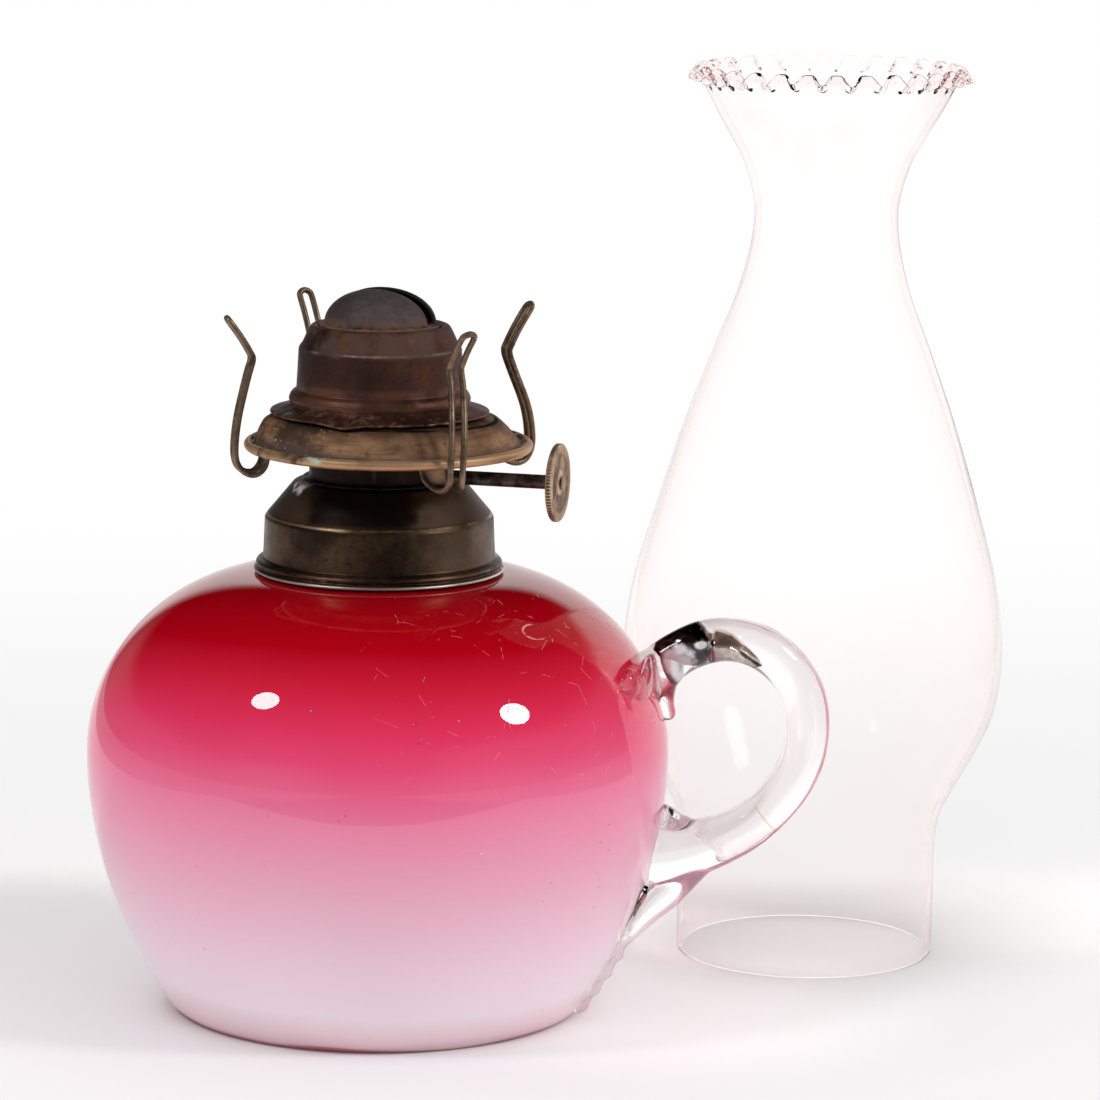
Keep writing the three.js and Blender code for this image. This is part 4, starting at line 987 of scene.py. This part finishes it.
gallery_bead = spun(bead_line, 240, knocked)
gallery_mesh = to_mesh(*joined(gallery_sheet, gallery_bead))
piece("gallery_dish", gallery_mesh, "burner", dish_brass, ["gallery_plate"])

# Prongs
# Four sprung hairpins of brass wire hold the chimney's foot. Both ends of each hook up under the dish, the
# legs pass outside the rim, close in at the waist and flare out again to a round tip.
wire_radius = 0.73
prong_half = 1.55
prong_waist = 155.1
prong_tip = 166.2
# Each prong has its foot's angle, how far its tip leans round from there, and how much lower the tip is.
prong_places = {"left": (194, 2, 1.7), "front": (297, 9, 2.3), "right": (26, -10, 0), "back": (122, 0, 0)}
wire_brass = aged_metal(
    "prong wire",
    (0.26, 0.175, 0.105),
    (0.085, 0.054, 0.037),
    (0.52, 0.38, 0.26),
    (0.34, 0.52),
    size=150,
)[0]
pass_radius, waist_radius, tip_radius, hook_radius = 36.7, 30.7, 36.0, 28.0
hook_middle, hook_bend = (hook_radius + pass_radius) / 2, (pass_radius - hook_radius) / 2
hook_drop = 6.1
hook_bottom = rim_height - hook_drop
# Each row of a leg is its distance from the axis, its height and how much wider the pair stands there.
leg_rows = [
    (hook_radius, 136.65, 1.7),
    (hook_radius, rim_height - wire_radius, 1.7),
    (hook_middle - hook_bend * 0.8, rim_height - hook_drop * 0.66, 1.53),
    (hook_middle - hook_bend * 0.2, hook_bottom + wire_radius * 0.3, 1.02),
    (hook_middle + hook_bend * 0.4, hook_bottom + wire_radius * 0.5, 0.51),
    (hook_middle + hook_bend * 0.86, rim_height - hook_drop * 0.62, 0),
    (pass_radius, rim_height, 0),
]


def leg_above(tip):
    """The rest of a leg: in to the waist that grips the chimney, and out again to the tip."""
    close, flare = pass_radius - waist_radius, tip_radius - waist_radius
    climb, rise = prong_waist - rim_height, tip - prong_waist
    rows = []
    for share, up in ((0.22, 0.35), (0.78, 0.8)):
        rows.append((pass_radius - close * share, rim_height + climb * up, 0))
    for share, up in ((0, 0), (0.12, 0.2), (0.5, 0.56), (0.93, 0.9)):
        rows.append((waist_radius + flare * share, prong_waist + rise * up, 0))
    return rows


for name, (foot, lean, drop) in prong_places.items():
    side = polar(1, radians(foot) + pi / 2, 0)
    leg = leg_rows + leg_above(prong_tip - drop)
    middles = []
    for radius, z, _ in leg:
        up = smooth_share(z, rim_height, prong_waist)
        middle = polar(radius, radians(foot + lean * up), z)
        middle[0] += pushed(radius) * (1 - up)
        middles.append(middle)
    outward = middles[-1] - middles[-2]
    outward /= np.linalg.norm(outward)
    spreads = [side * (prong_half + splay) for _, _, splay in leg]
    one, other = np.add(middles, spreads), np.subtract(middles, spreads)
    top = [
        middles[-1] + side * prong_half * cos(a) + outward * prong_half * sin(a)
        for a in np.linspace(0, pi, 5)[1:-1]
    ]
    wire = flowing([*one, *top, *other[::-1]], 7)
    prong_mesh = to_mesh(*rod(wire, wire_radius, wire_radius, 14))
    piece(f"prong_wire_{name}", prong_mesh, f"prong_{name}", wire_brass, [f"prong_{name}"])

# Cap
# The spun thimble slides over the gallery's neck. It has a sloping flange with a wavy edge, a bead, an
# upright wall, a round shoulder and a raised ring for the dome, all dark brown with a purple heat tint.
cap_base = 141.6
cap_height = 20.9
cap_top = cap_base + cap_height
cap_ring = [(12.7, 0.9), (14.4, 0.9), (15.06, 0.3), (15.9, 0.3), (16.5, 1.2)]
cap_wall = [(17.96, 0.79), (18.8, 0.74), (19.3, 0.27), (20.5, 0.235), (21.1, 0.17), (20.5, 0.11)]
cap_line = [(r, cap_top - down) for r, down in cap_ring]
cap_line += [(r, cap_base + up * cap_height) for r, up in [*cap_wall, (22.8, 0.055)]]
cap_line.append((25.4, cap_base + 0.3))


def cap_bend(x, y, z, r, angle):
    """Small dents in the wall, and the flange bent down on one side of the front."""
    out = 1 + uneven(angle, z, 0.0035, 12) * smooth_share(z, cap_base + 4, cap_base + 9) * (r > 15)
    edge = smooth_share(r, 21.5, 25)
    lip = -0.8 * hill(apart(angle, -108), 9) + uneven(angle, z, 0.12, 13) + 0.25
    chipped = uneven(angle, 0, 1, 21) + 0.5 * np.sin(31 * angle) * np.sin(5 * angle)
    nicks = 1 - edge * 0.028 * np.maximum(chipped, 0)
    return x * out * nicks, y * out * nicks, z + edge * lip


cap_brass, tree, shader = aged_metal(
    "brown cap brass",
    (0.160, 0.066, 0.038),
    (0.066, 0.028, 0.020),
    (0.34, 0.20, 0.145),
    (0.42, 0.6),
    size=50,
)
heated = (band(tree, 147, 156, 3), patches(tree, 0.4, 0.6, 60, 4), 0.6)
mark(shader, heated, (0.066, 0.033, 0.036))
rusty = (band(tree, 157.5, 163, 1.5), patches(tree, 0.35, 0.6, 180, 5), 0.85)
mark(shader, rusty, (0.076, 0.037, 0.025), 0.75, 0.2)
# A painted highlight: a thin light line round the cap's shoulder.
cap_shoulder_painted_highlight = (band(tree, 157.1, 157.4, 0.2), patches(tree, 0.42, 0.6, 70, 4), 0.6)
mark(shader, cap_shoulder_painted_highlight, (0.42, 0.29, 0.24), 0.4)
on_flange = times(band(tree, 140, 144.6, 0.4), patches(tree, 0.48, 0.66, 330, 5, 0.7))
mark(shader, (on_flange, 0.55), (0.145, 0.080, 0.052), 0.8, 0.2)
# Painted shade: the cap's wall is darker at its left and right sides.
cap_left_painted_shade = between(away_from(tree, (-17, -9, 152), (1, 1, 0.5)), 0.012, 0.003)
mark(shader, (cap_left_painted_shade, 0.55), (0.050, 0.026, 0.022))
cap_right_painted_shade = between(away_from(tree, (15.5, -11.5, 152), (1, 1, 0.5)), 0.010, 0.002)
mark(shader, (cap_right_painted_shade, 0.55), (0.070, 0.032, 0.025))
wall_foot = (band(tree, 144.6, 148.5, 1.5), patches(tree, 0.36, 0.6, 95, 4), 0.6)
mark(shader, wall_foot, (0.26, 0.115, 0.072))
crust = raised(on_flange, 0.00015, 0.35, shader.inputs["Normal"].links[0].from_socket)
feed(shader, "Normal", crust)
cap_mesh = to_mesh(*spun(sheet(eased(cap_line, 0.5)), 240, cap_bend))
piece("cap_thimble", cap_mesh, "cap", cap_brass, ["burner_cap"])

# Dome
# The flame deflector is a thin dome of dark iron in the cap's mouth, with a rusty foot. It is slit across,
# and the wick burns up through the slit.
dome_radius = 13.1
dome_height = 8.3
dome_base = cap_top - 0.3
dome_line = [(14.05, dome_base + 0.25), (13.4, dome_base + 0.25), (12.8, dome_base + 0.5)]
for a in np.linspace(0.06, pi / 2, 40):
    dome_line.append(((dome_radius - 0.3) * cos(a), dome_base + 0.6 + (dome_height - 0.3) * sin(a)))
dome_steel, tree, shader = aged_metal(
    "dark dome iron",
    (0.088, 0.066, 0.060),
    (0.048, 0.036, 0.034),
    (0.13, 0.095, 0.08),
    (0.62, 0.78),
    size=80,
    metallic=0.35,
)
# Painted shade: the dome is darker on its front left.
mark(shader, (around(tree, (-12, -5, 166), 9, 0.3), 0.65), (0.040, 0.028, 0.026))
rust = (above(tree, dome_base + 3.4, dome_base + 0.6), patches(tree, 0.32, 0.56, 420, 5, 0.65))
mark(shader, rust, (0.125, 0.056, 0.028), 0.85, 0.0)
slit_turn = np.array(Matrix.Rotation(radians(-21), 3, "Z"))
slit_half = 2.3
# The dome's back half, beyond the slit, is nearly black: soot, and painted shade.
back_half_soot_and_shade = between(way_along(tree, slit_turn @ (0, 1, 0)), 0.0008, 0.0022)
mark(shader, (back_half_soot_and_shade, 0.9), (0.018, 0.014, 0.013))
slit_points = [
    slit_turn @ (x, y, z)
    for x in (-14.1, 14.1)
    for y in (-slit_half, slit_half)
    for z in (dome_base + 0.9, dome_base + 20)
]
slit_faces = [(0, 1, 3, 2), (4, 6, 7, 5), (0, 4, 5, 1), (2, 3, 7, 6), (0, 2, 6, 4), (1, 5, 7, 3)]
dome_mesh = carved(to_mesh(*spun(sheet(dome_line), 160)), (slit_points, slit_faces))
piece("dome_deflector", dome_mesh, "cap", dome_steel, ["deflector_dome"])

# Chimney
# A blown glass chimney with a straight foot that fits the dish, a long bulge, a narrow waist and a flared
# rim that was crimped into small arches while it was hot. It stands beside the lamp. The glass has a faint
# blush.
chimney_middle = (104.50, 53.94)
chimney_height = 217.6
chimney_wall = 1.6
chimney_lean = 0.0108
crimp_count = 30
fitter, bulge, neck, rim = 31.75, 46.7, 17.5, 33.8
belly_shares = [(0.163, 0.07), (0.2, 0.33), (0.25, 0.71), (0.292, 0.925), (0.352, 1)]
waist_shares = [(0.43, 0.925), (0.52, 0.74), (0.61, 0.53), (0.69, 0.31), (0.75, 0.135)]
waist_shares += [(0.8, 0.035), (0.842, 0)]
flare_shares = [(0.872, 0.05), (0.905, 0.21), (0.95, 0.59), (0.985, 0.86)]
chimney_rows = [(z, fitter) for z in (0.8, 8, 18, 26)]
stretches = ((fitter, bulge, belly_shares), (neck, bulge, waist_shares), (neck, rim, flare_shares))
for narrow, wide, shares in stretches:
    chimney_rows += [(up * chimney_height, narrow + out * (wide - narrow)) for up, out in shares]
chimney_rows.append((chimney_height - 1, neck + 0.99 * (rim - neck)))
chimney_line = flowing(chimney_rows, 5)[:, ::-1]
rim_lift = 2.4
rim_top = chimney_height + rim_lift


def crimped(x, y, z, r, angle):
    """The rim's small arches, pushed out and down between their crowns, and the lean of the whole glass."""
    near_top = smooth_share(z, rim_top - 4.6, rim_top - 1.4)
    phase = crimp_count * angle + 0.22 * np.sin(3 * angle + 1) + 0.15 * np.sin(7 * angle)
    size = 1 + 0.12 * np.sin(5 * angle + 0.7) + 0.08 * np.sin(11 * angle)
    wave = (0.5 + 0.5 * np.cos(phase)) ** 2.3 * size
    out = (r + near_top * (1.9 * wave - 0.9)) / r
    down = near_top * 2.5 * wave
    x = x * out + chimney_middle[0] + chimney_lean * z
    return x, y * out + chimney_middle[1], z - down


plain = {"Transmission Weight": 1, "IOR": 1.15, "Roughness": 0}
blush_glass, tree, shader = new_finish("blush chimney glass", plain)
stained = times(patches(tree, 0.5, 0.7, 45, 4), 0.5, above(tree, 185, 205))
blown_colour = mixed(stained, (1, 1, 1), (0.95, 0.90, 0.89))
blown_colour = mixed(above(tree, rim_top - 4, rim_top - 2.5), blown_colour, (0.975, 0.93, 0.92))
edge_tint = times(rim_tint(tree, 0.85), above(tree, 100, 160, 0.3, 1))
feed(shader, "Base Color", mixed(edge_tint, blown_colour, (0.54, 0.37, 0.35)))
feed(shader, "Normal", raised(clouds(tree, 30, 2, 0.5, (1, 1, 0.4)), 0.0004, 0.3))
let_lamps_through(tree, shader, (0.98, 0.965, 0.965), (0.88, 0.62, 0.60), 45.0)
chimney_thick = np.full(len(chimney_line), chimney_wall)
chimney_thick[-4:] = (1.5, 1.45, 1.5, 1.6)
on_flare = smooth_share(chimney_line[:, 1] / chimney_height, 0.86, 0.99)
chimney_line[:, 1] += rim_lift * on_flare
chimney_middle_line = chimney_line - (chimney_wall / 2, 0)
chimney_mesh = to_mesh(*spun(sheet(chimney_middle_line, chimney_thick, 9), 720, crimped))
piece("chimney_glass", chimney_mesh, "chimney", blush_glass, ["chimney"], sharp=180)

# Floor and light
# A pale table that ends a little in front of the lamp, a white surround, and two round soft lamps high on
# either side. The rest of the room is dark, so polished surfaces mirror only the table, the wall and the
# lamps.
table_front = -0.262
table_half = 3
floor_mesh = bpy.data.meshes.new("table")
corners = [(x * table_half, y * table_half, 0) for x, y in ((-1, -1), (1, -1), (1, 1), (-1, 1))]
floor_mesh.from_pydata(corners, [], [(0, 1, 2, 3)])
floor = placed("table", floor_mesh)
paper, tree, shader = new_finish("pale table", {"Roughness": 1, "Specular IOR Level": 0})
east, north, _ = add(tree, "SeparateXYZ", {0: place_in(tree)}).outputs
# The table is painted darker towards the back and left, a painted shade, and white just right of the font,
# painted light where the font's shadow falls.
table_painted_shade_share = between(way_along(tree, (0.25, -1.0, 0)), -0.12, 0.03)
table_painted_shade_and_light = mixed(table_painted_shade_share, (0.76, 0.757, 0.76), (0.845, 0.845, 0.85))
table_painted_shade_and_light = mixed(between(away_from(tree, (72, -6, 0)), 0.075, 0.015), table_painted_shade_and_light, (1, 1, 1))
feed(shader, "Base Color", table_painted_shade_and_light)
behind = sums("ADD", between(north, 0.105, 0.135, 0, 0.36), between(north, 0.135, 0.70, 0, 0.64))
white_share = sums("MAXIMUM", behind, between(away_from(tree, (0, 0, 0)), 0.3, 0.8))
path = add(tree, "LightPath").outputs
white = add(tree, "Emission", {"Strength": between(path["Is Transmission Ray"], 0, 1, 1.0, 1.10)})
seen = add(tree, "MixShader", {0: white_share, 1: shader.outputs[0], 2: white.outputs[0]})
sideways = sums("ABSOLUTE", east)
past_edge = between(north, table_front, table_front - 0.004)
past_edge = sums("MAXIMUM", past_edge, between(sideways, 0.39, 0.41))
dark = add(tree, "Emission", {"Strength": between(sideways, 0.22, 0.45, 0.03, 0.5)})
mirror_ray = sums("MAXIMUM", sums("SUBTRACT", path["Is Glossy Ray"], path["Is Transmission Ray"]), 0)
hidden = times(past_edge, mirror_ray, between(path["Diffuse Depth"], 0.6, 0.4))
table_shader = add(tree, "MixShader", {0: hidden, 1: seen.outputs[0], 2: dark.outputs[0]})
tree.links.new(table_shader.outputs[0], tree.nodes["Material Output"].inputs["Surface"])
floor_mesh.materials.append(paper)

world = bpy.data.worlds.new("room")
bpy.context.scene.world = world
world.use_nodes = True
world.cycles.sampling_method = "NONE"
tree = world.node_tree
toward = add(tree, "TexCoord").outputs["Generated"]
east, _, up = add(tree, "SeparateXYZ", {0: toward}).outputs
path = add(tree, "LightPath").outputs
panel = times(between(way_along(tree, (0.13, 0.99, 0), toward), 0.85, 0.92), between(up, 0.42, 0.30))
right = times(between(east, 0.2, 0.6), between(up, 0.5, 0.34))
left = times(between(east, -0.2, -0.6), between(up, 0.3, 0.16))
mirrored = sums("MAXIMUM", panel, sums("ADD", times(right, 0.27), times(left, 0.2)))
through = between(up, 0.50, 0.40, 0.0, 1.13)
upward = between(up, 0.50, 0.40, 1, 0)
through = sums("ADD", through, times(upward, between(up, 0.5, 0.8, 0.34, 0.20)))
level = add(tree, "Mix", {0: path["Is Transmission Ray"], 2: mirrored, 3: through}).outputs[0]
scattered = between(path["Diffuse Depth"], 0.4, 0.6)
level = add(tree, "Mix", {0: scattered, 2: level, 3: 0.88}).outputs[0]
level = add(tree, "Mix", {0: path["Is Camera Ray"], 2: level, 3: 1.0}).outputs[0]
tree.links.new(level, tree.nodes["Background"].inputs["Strength"])
upward = times(upward, path["Is Transmission Ray"], between(path["Diffuse Depth"], 0.6, 0.4))
tree.links.new(mixed(upward, (1, 1, 1), (1, 0.70, 0.62)), tree.nodes["Background"].inputs["Color"])

lamp_aim = Vector((0, 0, 0.08))
# Each lamp has its place, its width and its power.
lamp_places = {"left": ((-1.219, -0.732, 1.539), 0.36, 6.4), "right": ((1.533, -0.619, 1.278), 0.42, 10.0)}
for side, (at, size, watts) in lamp_places.items():
    light = placed(f"soft_lamp_{side}", bpy.data.lights.new(f"soft_lamp_{side}", "AREA"))
    light.data.shape = "DISK"
    light.data.size = size
    light.data.energy = watts
    aim = (lamp_aim - Vector(at)).to_track_quat("-Z", "Y")
    light.matrix_world = Matrix.Translation(at) @ aim.to_matrix().to_4x4()
